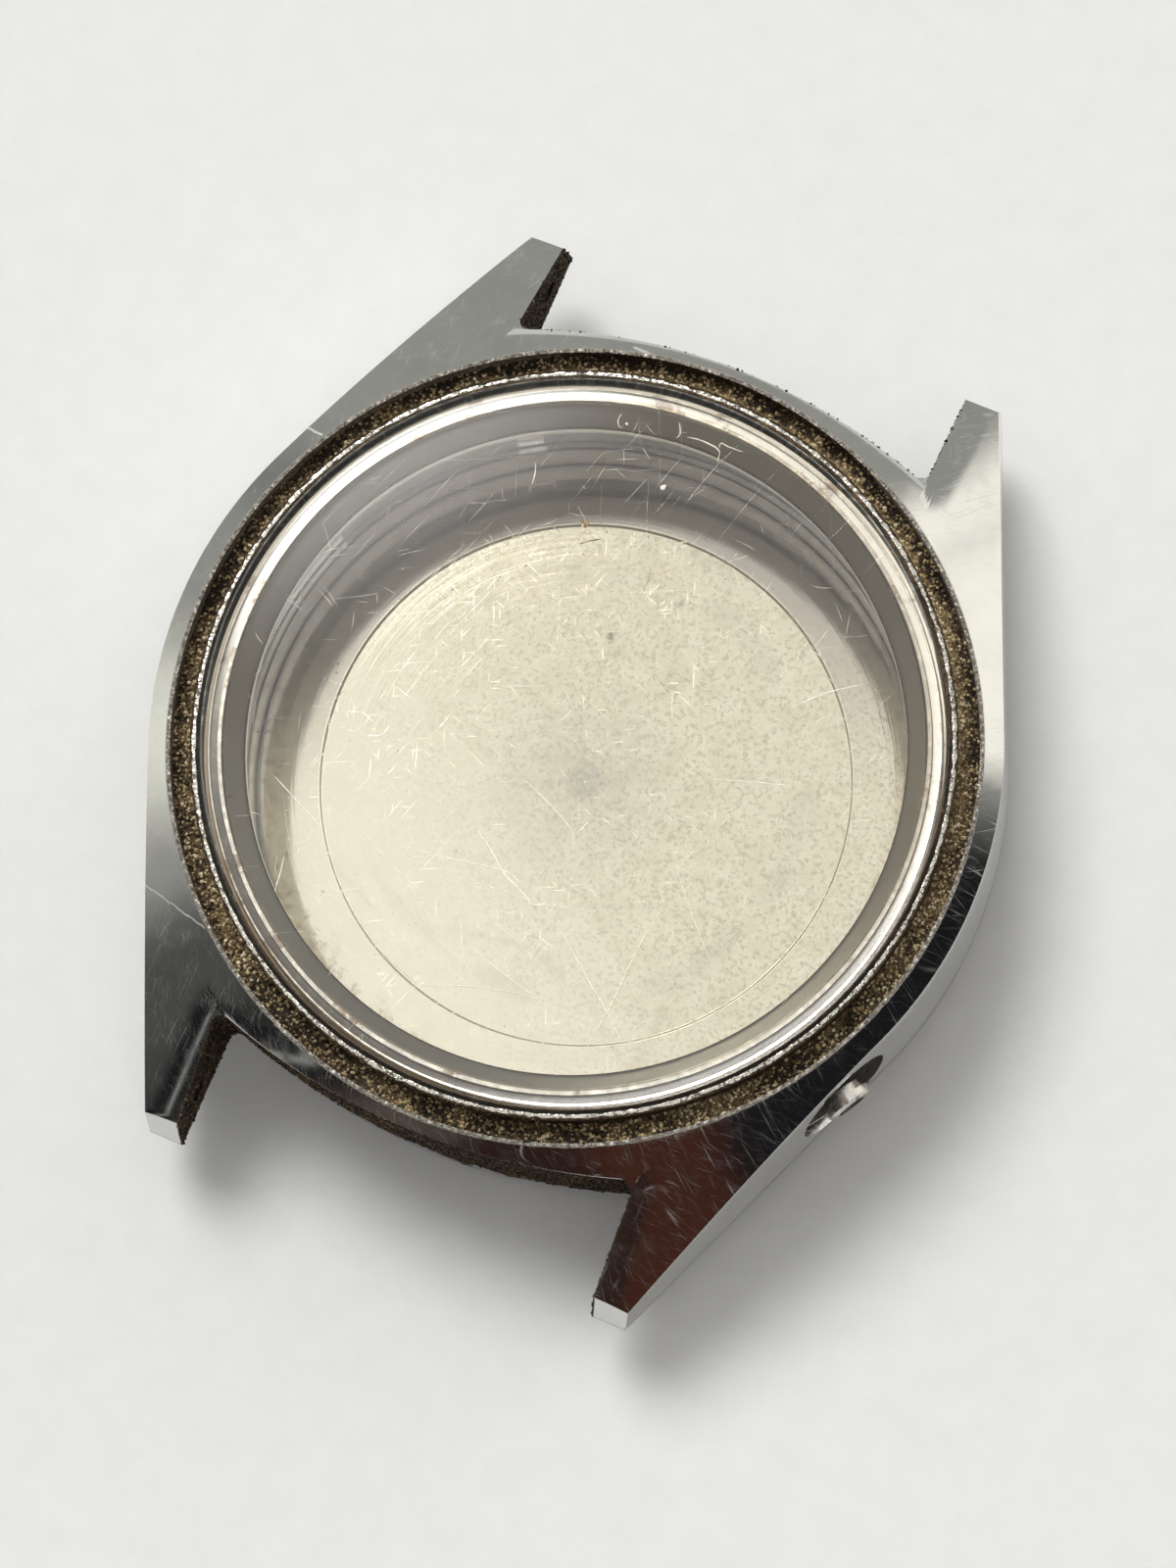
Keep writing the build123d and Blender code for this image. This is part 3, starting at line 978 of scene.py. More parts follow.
# %% [markdown]
# ## Ring, tube, rubber and dirt
#
# The tension ring is plated and has gone brown in patches; grease has set in its trough, and its inner land
# is yellowed on the side towards 12 o'clock. Low on its inner slope it is a darker grey, as painted shade.
# The crown's tube is plain turned steel with patches of dirt.
# Both are the same turned surface with other values, so that is a function, and the ring adds its grease
# after it. The gasket is black rubber with a bloom of dust. The dirt itself is a mix of skin grease, dust
# and rust: crumbs from near black to a dull gold, with painted light by the lip and painted shade further
# out.

# %% The surface that ring and tube share


def turned_surface(graph, spot, tone, tarnish, pitch, gloss, stained_above):
    """Colour, metal, roughness and height of turned metal, tarnished above some height in millimetres."""
    marks = use(graph, turned_lines, Position=spot, Pitch=pitch)["Height"]
    stain = use(graph, grime, Position=spot, Size=1.5, Cover=0.36)
    high = graph.ease(graph.split(spot)[2], stained_above - 0.1, stained_above + 0.1)
    stained = graph.times(stain["Mask"], high)
    ticks = graph.noise(graph.vector("MULTIPLY", spot, (1.0, 1.0, 0.3)), 2.6, 4.0, 0.7)
    colour = graph.mix(graph.ease(ticks, 0.35, 0.65), tuple(c * 0.9 for c in tone), tone)
    colour = graph.mix(graph.times(stained, graph.ease(stain["Tone"], 0.3, 0.7, 0.5, 1.0)), colour, tarnish)
    metal = graph.minus(1.0, graph.times(stained, 0.4))
    rough = graph.ease(ticks, 0.35, 0.75, gloss, gloss + 0.1)
    return colour, metal, rough, graph.plus(graph.times(marks, 1.2), graph.times(ticks, high, 1.2))


# %% Ring metal, with old brown grease in its trough and painted shade low on its inner slope
ring_metal, graph, spot = material_graph("ring_metal")
colour, metal, rough, height = turned_surface(
    graph, spot, tone=(0.66, 0.63, 0.57), tarnish=(0.20, 0.125, 0.065), pitch=0.09, gloss=0.10,
    stained_above=ring_top - 0.2)
x, y, z = graph.split(spot)
radius = graph.from_axis(x, y)
near_twelve = graph.ease(y, -11.0, 4.0)
deep = graph.times(graph.ease(z, ring_top - 0.10, ring_top - 0.02, 0.95, 0.0),
                   graph.ease(radius, ring_radius - 0.55, ring_radius - 0.5),
                   graph.minus(1.0, graph.times(near_twelve, 0.6)),
                   graph.ease(graph.noise(spot, 1.2, 5.0, 0.7), 0.3, 0.5, 0.85, 1.0))
# painted shade: the ring's inner slope is a darker grey low down
painted_shade_low = graph.times(graph.fade(z, ring_top - 0.20, ring_top - 0.12),
                       graph.fade(radius, ring_radius - 0.56, ring_radius - 0.52))
fine_rings = graph.ease(graph.math("SINE", graph.times(radius, 140.0)), -0.2, 0.6, 0.25, 0.75)
yellowed = graph.times(near_twelve, fine_rings, graph.fade(radius, ring_radius - 0.38, ring_radius - 0.36))
grease = graph.mix(graph.ease(radius, ring_radius - 0.1, ring_radius - 0.08),
                   (0.06, 0.05, 0.04), (0.22, 0.15, 0.075))
colour = graph.layered(colour, (graph.times(painted_shade_low, 0.9), (0.22, 0.215, 0.20)),
                       (yellowed, (0.34, 0.27, 0.18)), (deep, grease))
matt = graph.most(graph.times(painted_shade_low, 0.38), graph.times(deep, 0.6))
coat(graph, Base_Color=colour, Metallic=graph.times(metal, graph.minus(1.0, deep)),
     Roughness=graph.plus(rough, matt), Normal=graph.bump(height, 1e-6))

# %% Tube steel
tube_steel, graph, spot = material_graph("tube_steel")
colour, metal, rough, height = turned_surface(
    graph, spot, tone=(0.62, 0.60, 0.56), tarnish=(0.12, 0.08, 0.05), pitch=0.2, gloss=0.18,
    stained_above=0.0)
coat(graph, Base_Color=colour, Metallic=metal, Roughness=rough, Normal=graph.bump(height, 1e-6))

# %% Gasket rubber
rubber, graph, spot = material_graph("gasket_rubber")
bloom = graph.noise(spot, 1.2, 5.0, 0.7)
coat(graph, Base_Color=graph.mix(graph.ease(bloom, 0.4, 0.7), (0.018, 0.018, 0.018), (0.06, 0.058, 0.054)),
     Roughness=graph.ease(bloom, 0.35, 0.7, 0.45, 0.75),
     Normal=graph.bump(graph.noise(spot, 12.0, 3.0), 8e-6))

# %% Dirt


def dirt(name, deepest, brown, gold, pale, shift):
    """Dried dirt that goes from a deep tone to a pale one, lighter by the lip and darker further out as
    painted light and shade; shift moves the whole of it up or down.
    """
    material, graph, spot = material_graph(name)
    patch = graph.noise(spot, 0.5, 3.0, 0.6)
    grain = graph.noise(spot, 6.5, 4.0, 0.75)
    x, y, _ = graph.split(spot)
    # painted light and shade: the tone is raised by the lip and inwards, lowered towards the groove's outer
    # wall and beyond, most towards 12 o'clock
    painted_light_and_shade = graph.ease(graph.from_axis(x, y), lip_radius + 0.1, groove_radius - 0.1, 1.0, -0.4)
    painted_light_and_shade = graph.times(painted_light_and_shade, graph.ease(y, -8.0, 12.0, 0.02, 0.16))
    level = graph.plus(graph.times(grain, 0.75), graph.times(graph.attribute("grain_tone"), 0.35),
                       graph.times(graph.minus(patch, 0.5), 0.5), graph.plus(painted_light_and_shade, shift))
    colour = graph.layered(deepest, (graph.ease(level, 0.32, 0.46), brown),
                           (graph.ease(level, 0.45, 0.60), gold), (graph.ease(level, 0.62, 0.80), pale))
    coat(graph, Base_Color=colour, Roughness=graph.ease(grain, 0.3, 0.7, 0.6, 0.95),
         Specular_IOR_Level=0.3, Normal=graph.bump(graph.cells(spot, 11.0), 3e-5))
    return material


dry_dirt = dirt("dry_dirt", deepest=(0.016, 0.011, 0.007), brown=(0.14, 0.095, 0.048),
                gold=(0.38, 0.285, 0.15), pale=(0.78, 0.69, 0.49), shift=-0.02)
dark_crust = dirt("dark_crust", deepest=(0.006, 0.004, 0.002), brown=(0.028, 0.017, 0.009),
                  gold=(0.13, 0.085, 0.042), pale=(0.42, 0.31, 0.17), shift=-0.06)

# %% [markdown]
# ## Clear acrylic
#
# The crystal bends light, so it is a true refracting solid with a slight warm tint. Plain refraction would
# leave the room behind it to dim and noisy light paths, so lamps, diffuse light and light that has already
# been through it once pass straight on. Hairlines and old cleaning marks make its top a little cloudy.

# %% Crystal
acrylic, graph, spot = material_graph("clear_acrylic")
coat(graph, IOR=1.49, Transmission_Weight=1.0)
fine = use(graph, hairlines, Position=spot, Spacing=0.8, Width=0.03, Length=2.5)["Lines"]
smear = graph.noise(spot, 0.8, 4.0, 0.6)
coat(graph, Base_Color=graph.mix(graph.ease(smear, 0.3, 0.7), (0.965, 0.955, 0.925), (0.985, 0.98, 0.96)),
     Roughness=graph.plus(graph.ease(smear, 0.5, 0.8, 0.0, 0.015), graph.times(fine, 0.12)),
     Normal=graph.bump(graph.times(fine, -1.0), 1.5e-6))
path = graph.add("ShaderNodeLightPath").outputs
been_through = graph.times(path["Is Glossy Ray"], graph.math("GREATER_THAN", path["Transmission Depth"], 1.5))
straight_on = graph.most(path["Is Shadow Ray"], path["Is Diffuse Ray"], been_through)
see_through(graph, straight_on, (0.97, 0.965, 0.95, 1.0))

# %% [markdown]
# ## Packed dirt in the bezel groove
#
# The groove that held the bezel is full of dried dirt. Geometry nodes bend a flat grid into a ring, heap it
# up against both walls with noise, and scatter crumbs over it. Both are made from the groove's radii, so
# they would follow if the groove were wider. The result is kept as plain meshes.

# %% Helpers for geometry nodes


def geometry_tree(name, inputs):
    """A geometry node tree with named inputs; returns the graph, its inputs and its output socket."""
    tree = bpy.data.node_groups.new(name, "GeometryNodeTree")
    tree.interface.new_socket(name="Geometry", in_out="INPUT", socket_type="NodeSocketGeometry")
    kinds = {float: "NodeSocketFloat", int: "NodeSocketInt"}
    for label, value in inputs.items():
        kind = kinds.get(type(value), "NodeSocketMaterial")
        tree.interface.new_socket(name=label, in_out="INPUT", socket_type=kind)
    tree.interface.new_socket(name="Geometry", in_out="OUTPUT", socket_type="NodeSocketGeometry")
    graph = Graph(tree)
    return graph, graph.add("NodeGroupInput").outputs, graph.add("NodeGroupOutput").inputs["Geometry"]


def grown(name, tree, values, source=None):
    """Runs a geometry node tree and keeps its result as a plain mesh."""
    made = new_object(name, source or bpy.data.meshes.new(name))
    modifier = made.modifiers.new("nodes", "NODES")
    modifier.node_group = tree
    for socket in tree.interface.items_tree:
        if socket.in_out == "INPUT" and socket.name in values:
            modifier[socket.identifier] = values[socket.name]
    baked(made)
    print(name, "has", len(made.data.polygons), "faces")
    return made


def finished(graph, geometry, material, output):
    """The last steps of every tree: real geometry, and its material."""
    real = graph.add("GeometryNodeRealizeInstances", {"Geometry": geometry})
    coated = graph.add("GeometryNodeSetMaterial", {"Geometry": real.outputs[0], "Material": material})
    graph.put(output, coated.outputs[0])


# %% The bed of packed dirt
bed_inputs = {"Inner Radius": lip_radius * MM, "Outer Radius": groove_radius * MM, "Floor": groove_floor * MM,
              "Heap": 0.72 * MM, "Grain": 0.19 * MM, "Columns": 2200, "Rows": 20, "Seed": 4.0,
              "Material": dry_dirt}
graph, given, output = geometry_tree("packed_dirt", bed_inputs)
grid = graph.add("GeometryNodeMeshGrid", {"Size X": 2 * math.pi, "Size Y": 1.0,
                                          "Vertices X": given["Columns"], "Vertices Y": given["Rows"]})
turn, across, _ = graph.split(graph.add("GeometryNodeInputPosition").outputs[0])
wide = graph.minus(given["Outer Radius"], given["Inner Radius"])
radius = graph.plus(given["Inner Radius"], graph.times(graph.plus(across, 0.5), wide))
flat = graph.join(graph.times(radius, graph.math("COSINE", turn)),
                  graph.times(radius, graph.math("SINE", turn)), given["Seed"])
scale = graph.over(1.0, given["Grain"])
lumps = graph.cells(flat, graph.times(scale, 0.8))
fine = graph.noise(flat, scale, 3.0, 0.7)
swell = graph.noise(flat, 420.0, 2.0)
walls = graph.math("POWER", graph.math("ABSOLUTE", graph.times(across, 2.0)), 2.0)
level = graph.plus(graph.times(swell, 0.9), graph.times(walls, 0.35))
grit = graph.plus(graph.times(lumps, -0.26), graph.times(fine, 0.34))
height = graph.plus(given["Floor"], graph.times(given["Heap"], graph.plus(level, grit)))
bent = graph.vector("ADD", graph.vector("MULTIPLY", flat, (1.0, 1.0, 0.0)), graph.join(0.0, 0.0, height))
placed = graph.add("GeometryNodeSetPosition", {"Geometry": grid.outputs["Mesh"], "Position": bent})
closed = graph.add("GeometryNodeMergeByDistance", {"Geometry": placed.outputs[0], "Distance": 1e-6})
finished(graph, closed.outputs[0], given["Material"], output)
dirt_bed = grown("dirt_in_groove", graph.tree, bed_inputs)

# %% Crumbs on top of it
crumb_inputs = {"Density": 34.0 / MM**2, "Smallest": 0.035 * MM, "Largest": 0.115 * MM, "Seed": 7,
                "Material": dry_dirt}
graph, given, output = geometry_tree("crumbs", crumb_inputs)
small, large, seed = given["Smallest"], given["Largest"], given["Seed"]
points = graph.add("GeometryNodeDistributePointsOnFaces", {
    "Mesh": given["Geometry"], "Density": given["Density"], "Seed": seed})
crumb = graph.add("GeometryNodeMeshIcoSphere", {"Radius": 1.0, "Subdivisions": 1})
size = graph.add("FunctionNodeRandomValue", {"Seed": seed}, data_type="FLOAT_VECTOR")
graph.put(size.inputs["Min"], graph.join(small, small, small))
graph.put(size.inputs["Max"], graph.join(large, large, large))
turn_range = {"Min": (0, 0, 0), "Max": (6.28, 6.28, 6.28)}
spin = graph.add("FunctionNodeRandomValue", turn_range, data_type="FLOAT_VECTOR")
tone = graph.add("FunctionNodeRandomValue", {"Seed": graph.plus(seed, 1)}, data_type="FLOAT")
strewn = graph.add("GeometryNodeInstanceOnPoints", {
    "Points": points.outputs["Points"], "Instance": crumb.outputs[0],
    "Rotation": spin.outputs["Value"], "Scale": size.outputs["Value"]})
tone_inputs = {"Geometry": strewn.outputs[0], "Name": "grain_tone", "Value": tone.outputs[1]}
toned = graph.add("GeometryNodeStoreNamedAttribute", tone_inputs, data_type="FLOAT", domain="INSTANCE")
finished(graph, toned.outputs[0], given["Material"], output)
crumb_tree = graph.tree
groove_crumbs = grown("crumbs_in_groove", crumb_tree, crumb_inputs, dirt_bed.data.copy())

# %% [markdown]
# ## Crust between the lugs, round the crown tube and along the lip
#
# The same crumbs grow between the lugs, where a cloth can't reach. The faces they grow on are cut out of
# the case's own mesh by a plain test, so the crust follows the walls exactly. Grease that has set hard is a
# turned bead with a rough skin.

# %% Crust between the lugs


def faces_where(source, test):
    """A mesh of those faces of source that pass a test on centre and normal in millimetres."""
    work = bmesh.new()
    work.from_mesh(source)
    unwanted = [face for face in work.faces if not test(face.calc_center_median() / MM, face.normal)]
    bmesh.ops.delete(work, geom=unwanted, context="FACES")
    kept = bpy.data.meshes.new("chosen_faces")
    work.to_mesh(kept)
    work.free()
    return kept


def in_strap_gap(centre, normal):
    between_lugs = abs(centre.x) < half_gap + 0.05 and abs(centre.y) > 15.3
    return between_lugs and abs(normal.z) < 0.35 and centre.z > 3.0


crust_inputs = {"Density": 24.0 / MM**2, "Smallest": 0.02 * MM, "Largest": 0.095 * MM, "Seed": 11,
                "Material": dark_crust}
crust = grown("crust_between_lugs", crumb_tree, crust_inputs, faces_where(mid_case.data, in_strap_gap))

# %% Beads of dirt: round the crown tube, and in the gap between lip and crystal
bead_inputs = {"Rough": 0.035 * MM, "Lump": 0.4 * MM, "Material": dark_crust}
graph, given, output = geometry_tree("bead_of_dirt", bead_inputs)
fine_grid = graph.add("GeometryNodeSubdivideMesh", {"Mesh": given["Geometry"], "Level": 2})
here = graph.add("GeometryNodeInputPosition").outputs[0]
lump = graph.noise(here, graph.over(1.0, given["Lump"]), 4.0, 0.7, output="Color")
middle_grey = (0.5, 0.5, 0.5)
push = graph.scaled(graph.vector("SUBTRACT", lump, middle_grey), graph.times(given["Rough"], 4.0))
rough = graph.add("GeometryNodeSetPosition", {"Geometry": fine_grid.outputs[0], "Offset": push})
finished(graph, rough.outputs[0], given["Material"], output)
bead_tree = graph.tree

collar_profile = [(0.88, recess_floor - 0.02), (1.7, recess_floor - 0.02), (1.62, recess_floor + 0.14),
                  (1.3, recess_floor + 0.26), (0.88, recess_floor + 0.32)]
collar = lathe("collar_of_dirt", collar_profile, steps=72)
collar.transform(tube_way)
dirt_collar = grown("dirt_round_crown_tube", bead_tree, bead_inputs, collar)
gap_profile = [(crystal_radius - 0.05, lip_top - 0.06), (seat_radius + 0.11, lip_top - 0.06),
               (seat_radius + 0.09, lip_top + 0.015), (seat_radius, lip_top + 0.06),
               (crystal_radius - 0.05, lip_top + 0.10)]
lip_bead = grown("dirt_in_lip_gap", bead_tree, bead_inputs | {"Rough": 0.022 * MM, "Lump": 0.22 * MM},
                 lathe("gap_bead", gap_profile, steps=480))

# %% [markdown]
# ## Scratches, threads and specks on the crystal
#
# Each scratch is drawn as a few points, and geometry nodes make a curve of it, smooth it, let it taper off
# at both ends and give it a thin body. It lies just under the surface of the acrylic, where a real scratch
# has its crushed white walls. The lint threads are made by the same tree with a rounder body.

# %% Scratches
strokes = (
    (0.030, ((-2.02, -5.23), (-1.24, -5.72), (-0.34, -6.47), (0.46, -6.81), (1.32, -7.26))),
    (0.018, ((-4.68, -7.02), (-2.57, -6.75), (-0.38, -6.39), (0.57, -6.64))),
    (0.016, ((-1.43, -7.35), (-0.17, -7.2), (1.16, -7.2))),
    (0.022, ((-10.81, -6.3), (-9.51, -6.91), (-8.29, -7.45))),
    (0.018, ((-1.19, -8.95), (-0.79, -9.76), (-0.43, -10.5))),
    (0.020, ((-1.95, -12.31), (-0.09, -11.5), (1.88, -10.97), (3.24, -10.76))),
    (0.016, ((-0.45, -9.84), (1.65, -10.44), (3.61, -10.92))),
    (0.024, ((2.87, -7.83), (4.68, -9.3), (6.09, -10.39), (7.37, -11.57))),
    (0.034, ((6.38, -5.21), (6.07, -7.41), (5.94, -10.02), (5.67, -12.4))),
    (0.020, ((8.1, 4.47), (9.09, 5.5), (10.44, 6.49))),
    (0.018, ((8.98, 3.92), (9.48, 4.53), (9.89, 4.92))),
    (0.013, ((5.81, -3.09), (7.5, -5.07), (9.2, -6.88))),
    (0.016, ((-0.95, -2.55), (0.3, -3.08), (1.6, -3.76), (2.0, -4.5))),
    (0.012, ((-4.94, 1.6), (-2.5, 2.49), (-0.08, 3.41))),
    (0.014, ((6.2, 0.42), (7.86, 0.96), (9.32, 1.37))),
    (0.014, ((-8.33, -6.11), (-5.86, -7.36), (-3.26, -8.54))),
    (0.018, ((-6.37, -11.01), (-5.46, -11.88), (-4.73, -12.82))),
    (0.016, ((-9.06, -9.24), (-8.93, -9.95), (-8.83, -10.8))),
    (0.016, ((0.25, 8.71), (0.16, 7.3))),
    (0.012, ((-3.95, 0.63), (-1.66, 1.55))),
    (0.016, ((-5.99, 10.31), (-5.82, 9.91), (-5.74, 9.39))),
)
dice = random.Random(5)
faint = []
for _ in range(240):
    turn, far = dice.uniform(0, 2 * math.pi), 14.2 * math.sqrt(dice.random())
    way = dice.choice((0.4, 1.9, 2.6)) + dice.gauss(0, 0.35)
    run, bend = dice.uniform(0.25, 1.3), dice.uniform(-0.12, 0.12)
    middle = Vector((far * math.cos(turn), far * math.sin(turn)))
    step = Vector((math.cos(way), math.sin(way))) * run / 2
    line = (middle - step, middle + Vector((-step.y, step.x)) * bend, middle + step)
    if max(point.length for point in line) < 14.3:
        faint.append((dice.uniform(0.004, 0.0075), tuple(tuple(point) for point in line)))
print(len(strokes), "drawn scratches and", len(faint), "faint ones")

# %% Threads and specks
threads = (
    (0.024, ((-3.43, 13.66), (-3.45, 13.28), (-3.23, 13.08), (-3.15, 13.21))),
    (0.022, ((-1.01, 14.2), (-0.84, 13.94), (-0.78, 13.68), (-0.89, 13.5))),
    (0.024, ((-0.44, 13.72), (0.11, 13.8), (0.62, 13.77), (0.9, 13.74), (1.1, 13.59), (1.18, 13.16))),
    (0.020, ((1.01, 13.79), (1.01, 14.02), (1.34, 13.96), (2.02, 14.0))),
)
pale_specks = (
    (0.13, ((-0.58, 11.2), (-0.52, 11.32), (-0.47, 11.44))),
    (0.035, ((7.78, -2.98), (7.83, -2.92))), (0.03, ((8.45, -3.0), (8.5, -2.97))),
    (0.03, ((5.11, -2.76), (5.15, -2.73))), (0.035, ((10.93, -3.55), (11.0, -3.5))),
    (0.035, ((-9.44, -5.09), (-9.4, -5.03))), (0.03, ((0.22, -0.34), (0.26, -0.3))),
    (0.03, ((-7.13, -11.68), (-7.08, -11.64))), (0.05, ((-3.1, 13.35), (-2.98, 13.3))),
    (0.03, ((1.3, 12.8), (1.36, 12.83))),
)
brown_specks = (
    (0.11, ((-3.05, 8.82), (-2.98, 8.62), (-2.88, 8.46))), (0.09, ((-3.0, 8.6), (-2.82, 8.56))),
    (0.08, ((-2.93, 8.66), (-3.08, 8.48))), (0.022, ((-2.87, 7.7), (-2.53, 7.98), (-2.07, 8.25))),
    (0.018, ((0.3, 7.9), (0.45, 7.3), (0.4, 6.5))), (0.016, ((0.42, 7.35), (0.9, 7.9), (1.3, 8.3))),
    (0.02, ((-12.3, -7.9), (-12.1, -7.7))),
)

# %% The strokes' mesh and their tree
stroke_height = crystal_top - 0.05
stroke_fatness = 1.4


def stroke_mesh(name, lines):
    """Chains of edges through the points, with each chain's width and a tone from 0 to 1."""
    mesh = bpy.data.meshes.new(name)
    points, edges, widths, tones = [], [], [], []
    for number, (width, line) in enumerate(lines):
        edges += [(len(points) + k, len(points) + k + 1) for k in range(len(line) - 1)]
        points += [Vector((x, y, stroke_height)) * MM for x, y in line]
        widths += [stroke_fatness * width * MM] * len(line)
        tones += [(number * 0.37) % 1.0] * len(line)
    mesh.from_pydata(points, edges, [])
    mesh.attributes.new("stroke_width", "FLOAT", "POINT").data.foreach_set("value", widths)
    mesh.attributes.new("grain_tone", "FLOAT", "POINT").data.foreach_set("value", tones)
    return mesh


stroke_inputs = {"Step": 0.12 * MM, "Wander": 0.05 * MM, "Flatness": 0.5, "Material": dry_dirt}
graph, given, output = geometry_tree("strokes", stroke_inputs)
chain = graph.add("GeometryNodeMeshToCurve", {"Mesh": given["Geometry"]}).outputs[0]
smooth = graph.add("GeometryNodeCurveSplineType", {"Curve": chain}, spline_type="CATMULL_ROM").outputs[0]
even = graph.add("GeometryNodeResampleCurve", {"Curve": smooth, "Length": given["Step"]}, mode="LENGTH")
here = graph.add("GeometryNodeInputPosition").outputs[0]
shake = graph.vector("SUBTRACT", graph.noise(here, 1800.0, output="Color"), middle_grey)
shake = graph.scaled(graph.vector("MULTIPLY", shake, (1.0, 1.0, 0.0)), given["Wander"])
moved = graph.add("GeometryNodeSetPosition", {"Geometry": even.outputs[0], "Offset": shake})
width = graph.add("GeometryNodeInputNamedAttribute", {"Name": "stroke_width"}, data_type="FLOAT")
along = graph.add("GeometryNodeSplineParameter").outputs["Factor"]
arch = graph.math("SINE", graph.times(graph.plus(0.03, graph.times(along, 0.94)), math.pi))
uneven = graph.ease(graph.noise(here, 2500.0, 2.0), 0.3, 0.7, 0.5, 1.2)
thick = graph.times(width.outputs["Attribute"], graph.math("POWER", arch, 0.5), uneven)
outline = graph.add("GeometryNodeCurvePrimitiveCircle", {"Resolution": 6, "Radius": 1.0})
body = graph.add("GeometryNodeCurveToMesh", {
    "Curve": moved.outputs[0], "Profile Curve": outline.outputs[0], "Scale": thick, "Fill Caps": True})
place = graph.add("GeometryNodeInputPosition").outputs[0]
kept_up = graph.times(stroke_height * MM, graph.minus(1.0, given["Flatness"]))
squashed = graph.vector("MULTIPLY", place, graph.join(1.0, 1.0, given["Flatness"]))
squashed = graph.vector("ADD", squashed, graph.join(0.0, 0.0, kept_up))
flat = graph.add("GeometryNodeSetPosition", {"Geometry": body.outputs[0], "Position": squashed})
finished(graph, flat.outputs[0], given["Material"], output)
stroke_tree = graph.tree

# %% The white of a scratch, and lint
scratch_white, graph, spot = material_graph("scratch_white")
tone = graph.attribute("grain_tone")
broken = graph.noise(spot, 9.0, 3.0, 0.7)
coat(graph, Base_Color=graph.mix(graph.ease(tone, 0.3, 0.9), (1.0, 0.98, 0.90), (0.86, 0.80, 0.66)),
     Roughness=graph.ease(broken, 0.3, 0.7, 0.45, 0.7), Alpha=graph.ease(broken, 0.35, 0.55, 0.45, 1.0),
     Normal=graph.bump(broken, 1e-5))

lint, graph, spot = material_graph("lint")
fluff = graph.noise(spot, 14.0, 3.0, 0.7)
coat(graph, Base_Color=graph.mix(graph.ease(fluff, 0.3, 0.7), (0.70, 0.64, 0.50), (0.93, 0.90, 0.82)),
     Roughness=graph.ease(fluff, 0.3, 0.7, 0.75, 0.95), Normal=graph.bump(fluff, 1e-5))

# %% Scratches, threads and specks in place
thread_inputs = {"Wander": 0.12 * MM, "Flatness": 0.9, "Material": lint}
speck_inputs = {"Step": 0.05 * MM, "Wander": 0.03 * MM, "Flatness": 0.2}
scratches, lint_threads, lint_specks, dirt_specks = (
    grown(name, stroke_tree, stroke_inputs | inputs, stroke_mesh(name, lines))
    for name, lines, inputs in (
        ("scratches_in_crystal", strokes + tuple(faint), {"Material": scratch_white}),
        ("threads_on_crystal", threads, thread_inputs),
        ("pale_specks_on_crystal", pale_specks, speck_inputs | {"Material": lint}),
        ("brown_specks_on_crystal", brown_specks, speck_inputs),
    )
)

# %% [markdown]
# ## Each piece to its body
#
# Each finished piece gets its material and is told which body it moves with. The six main pieces hide the
# plain solid that they stand in for. Dirt and scratches move with the case.

# %% Hand the pieces over
for piece, node, body, slot, material in (
    (mid_case, "mid_case", "case", "case_steel", case_steel),
    (crystal, "crystal", "case", "clear_acrylic", acrylic),
    (tension_ring, "tension_ring", "case", "ring_metal", ring_metal),
    (crown_tube, "crown_tube", "case", "tube_steel", tube_steel),
    (case_back, "case_back", "back", "back_steel", back_steel),
    (gasket, "back_gasket", "gasket", "gasket_rubber", rubber),
):
    piece.data.materials.clear()
    piece.data.materials.append(material)
    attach(piece, body)
    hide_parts(node)
for piece in (dirt_bed, groove_crumbs, crust, dirt_collar, lip_bead):
    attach(piece, "case")
for piece in (scratches, lint_threads, lint_specks, dirt_specks):
    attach(piece, "case")

# %% [markdown]
# ## Floor and light
#
# The case lies on plain white paper. A polished case shows the room it is in, so the room is drawn as light
# by direction: a pale ceiling, a window to the right, a lamp high on the left, and a dark side of the room
# behind the camera, which is what the lower lugs reflect. The camera itself sees a plain background.

# %% Floor
# A round hole under the flat of the back, which hides it, lets light reach that flat in a view from below.
floor_profile = [(back_flat_radius - 0.2, 0.0), (2500.0, 0.0)]
floor = turned_piece("floor", floor_profile, closed=False)
paper, graph, spot = material_graph("pale_paper")
fibre = graph.noise(spot, 0.6, 5.0, 0.6)
coat(graph, Base_Color=graph.mix(graph.ease(fibre, 0.3, 0.7), (0.635, 0.638, 0.64), (0.655, 0.658, 0.66)),
     Roughness=0.9, Normal=graph.bump(fibre, 3e-5))
# Seen from below the paper lets the light through, so that the case can be looked at from there too.
depth = graph.add("ShaderNodeLightPath").outputs["Transparent Depth"]
backfacing = graph.add("ShaderNodeNewGeometry").outputs["Backfacing"]
see_through(graph, graph.most(backfacing, graph.math("GREATER_THAN", depth, 0.5)))
floor.data.materials.append(paper)
floor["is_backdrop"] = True

# %% The walls of the room as light by direction
world = bpy.data.worlds.new("room")
bpy.context.scene.world = world
world.use_nodes = True
world.node_tree.nodes.clear()
room = Graph(world.node_tree)
way = room.add("ShaderNodeTexCoord").outputs["Generated"]
x, y, z = room.split(way)
azimuth = room.math("ARCTAN2", y, x)
elevation = room.math("ARCSINE", z)
walls = room.add("ShaderNodeRGB").outputs[0]
walls.default_value = (0.42, 0.42, 0.39, 1)
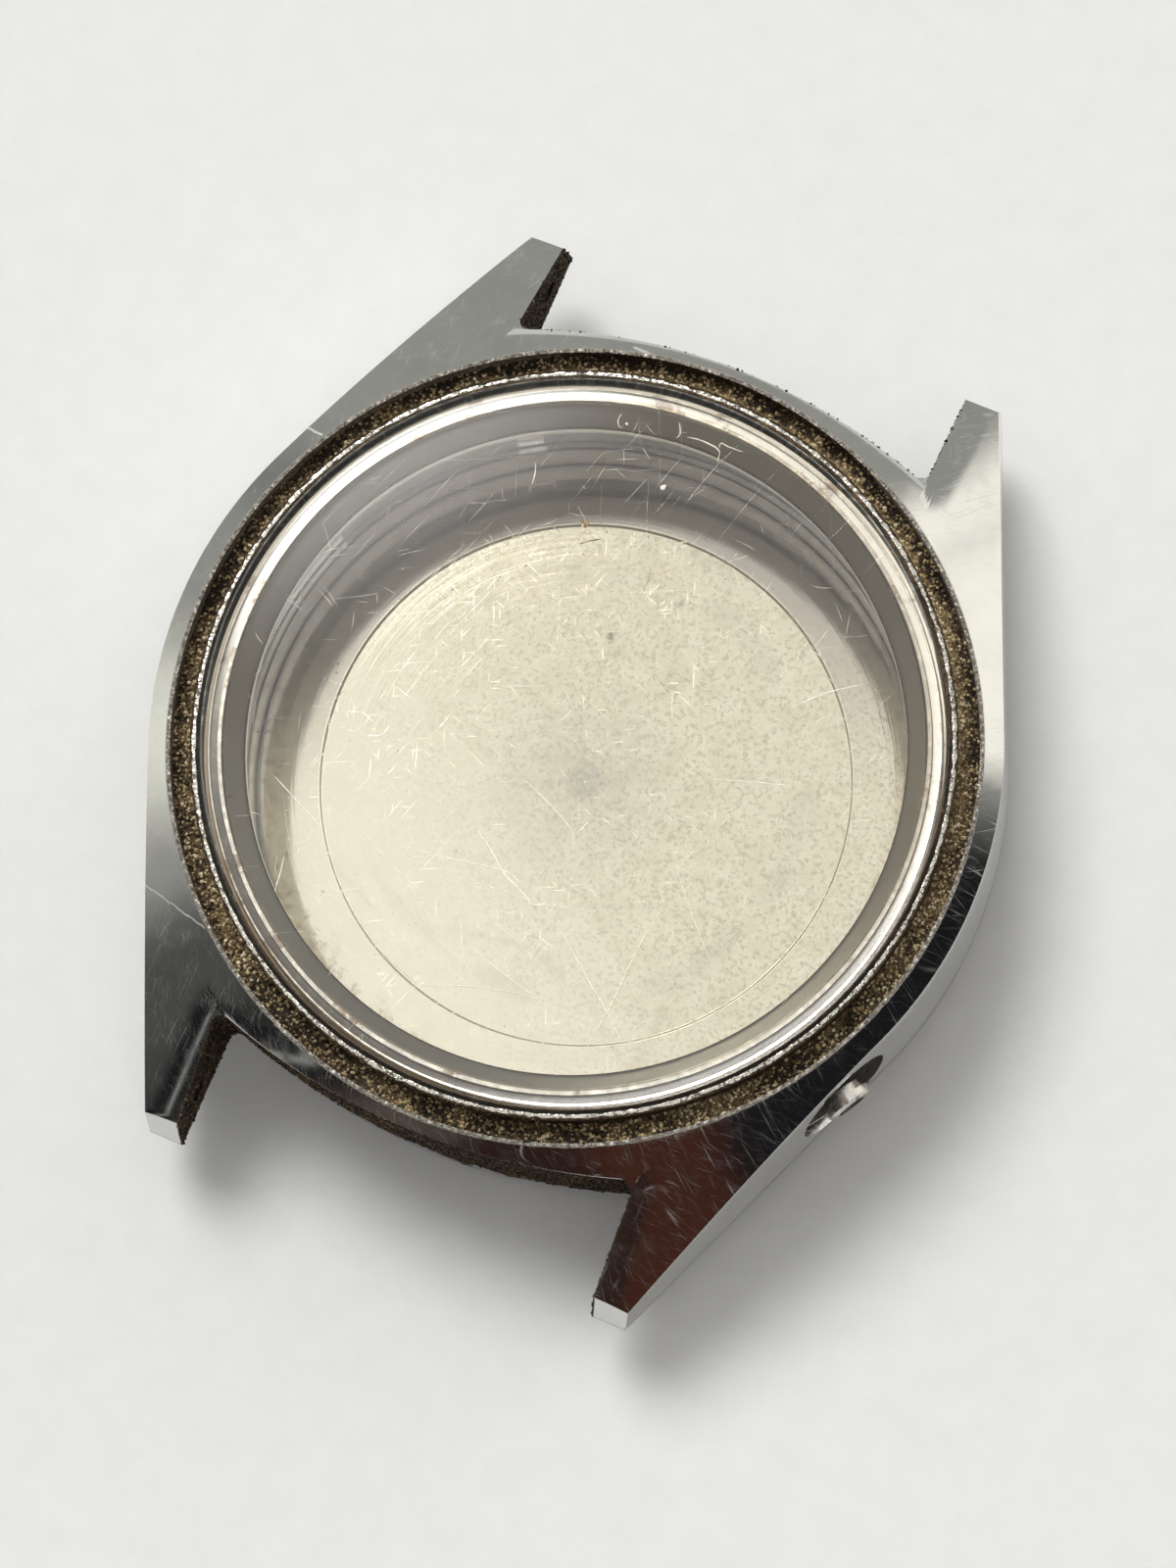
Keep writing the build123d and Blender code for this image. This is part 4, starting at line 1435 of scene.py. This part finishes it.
# Each patch: where its middle is and how far it goes to either side, its soft edge, all in degrees, and
# its colour.
for centre, half, soft, colour in (
    (153, 4, 4, (0.28, 0.29, 0.27)),       # a corner
    (-173, 10, 8, (1.15, 1.13, 1.02)),     # a pale wall by the lamp
    (52, 20, 3, (1.45, 1.41, 1.28)),       # the window
    (64, 0.8, 0.8, (1.10, 1.07, 0.98)),    # the bar in it
    (-60, 86, 9, (0.012, 0.012, 0.014)),   # the dark side of the room
    (-78, 13, 6, (0.036, 0.018, 0.014)),   # a dark red one
    (-101, 9, 6, (0.105, 0.080, 0.066)),   # something brown in it
    (-120, 0.8, 0.7, (0.6, 0.6, 0.56)),    # a gap with light behind
    (-58, 12, 4, (0.07, 0.024, 0.015)),    # something red
    (-141, 8, 6, (0.10, 0.10, 0.095)),     # a curtain
):
    turn = room.minus(azimuth, math.radians(centre))
    away = room.math("ABSOLUTE", room.math("WRAP", turn, math.pi, -math.pi))
    share = room.fade(away, math.radians(half - soft), math.radians(half + soft))
    walls = room.mix(share, walls, colour)

# %% Ceiling, lamp and what the camera sees
light = room.mix(room.ease(elevation, math.radians(46), math.radians(62)), walls, (1.08, 1.075, 1.05))
lamp_turn, lamp_height = math.radians(138), math.radians(57)
lamp_way = (math.cos(lamp_turn) * math.cos(lamp_height), math.sin(lamp_turn) * math.cos(lamp_height),
            math.sin(lamp_height))
lamp_soft_edge, lamp_core = math.cos(math.radians(17)), math.cos(math.radians(4))
in_lamp = room.ease(room.towards(way, lamp_way), lamp_soft_edge, lamp_core)
light = room.mix(in_lamp, light, (17.5, 17.4, 16.9))
by_camera = room.add("ShaderNodeLightPath").outputs["Is Camera Ray"]
seen = room.mix(by_camera, light, (0.80, 0.80, 0.79))
background = room.add("ShaderNodeBackground", {"Color": seen})
room.add("ShaderNodeOutputWorld", {0: background.outputs[0]})

# %% Check the size against the frame's
low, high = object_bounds()
beyond = [abs(a - b) / MM for a, b in zip((*low, *high), (*cad_low, *cad_high))]
print("largest difference from the frame in mm:", round(max(beyond), 3))
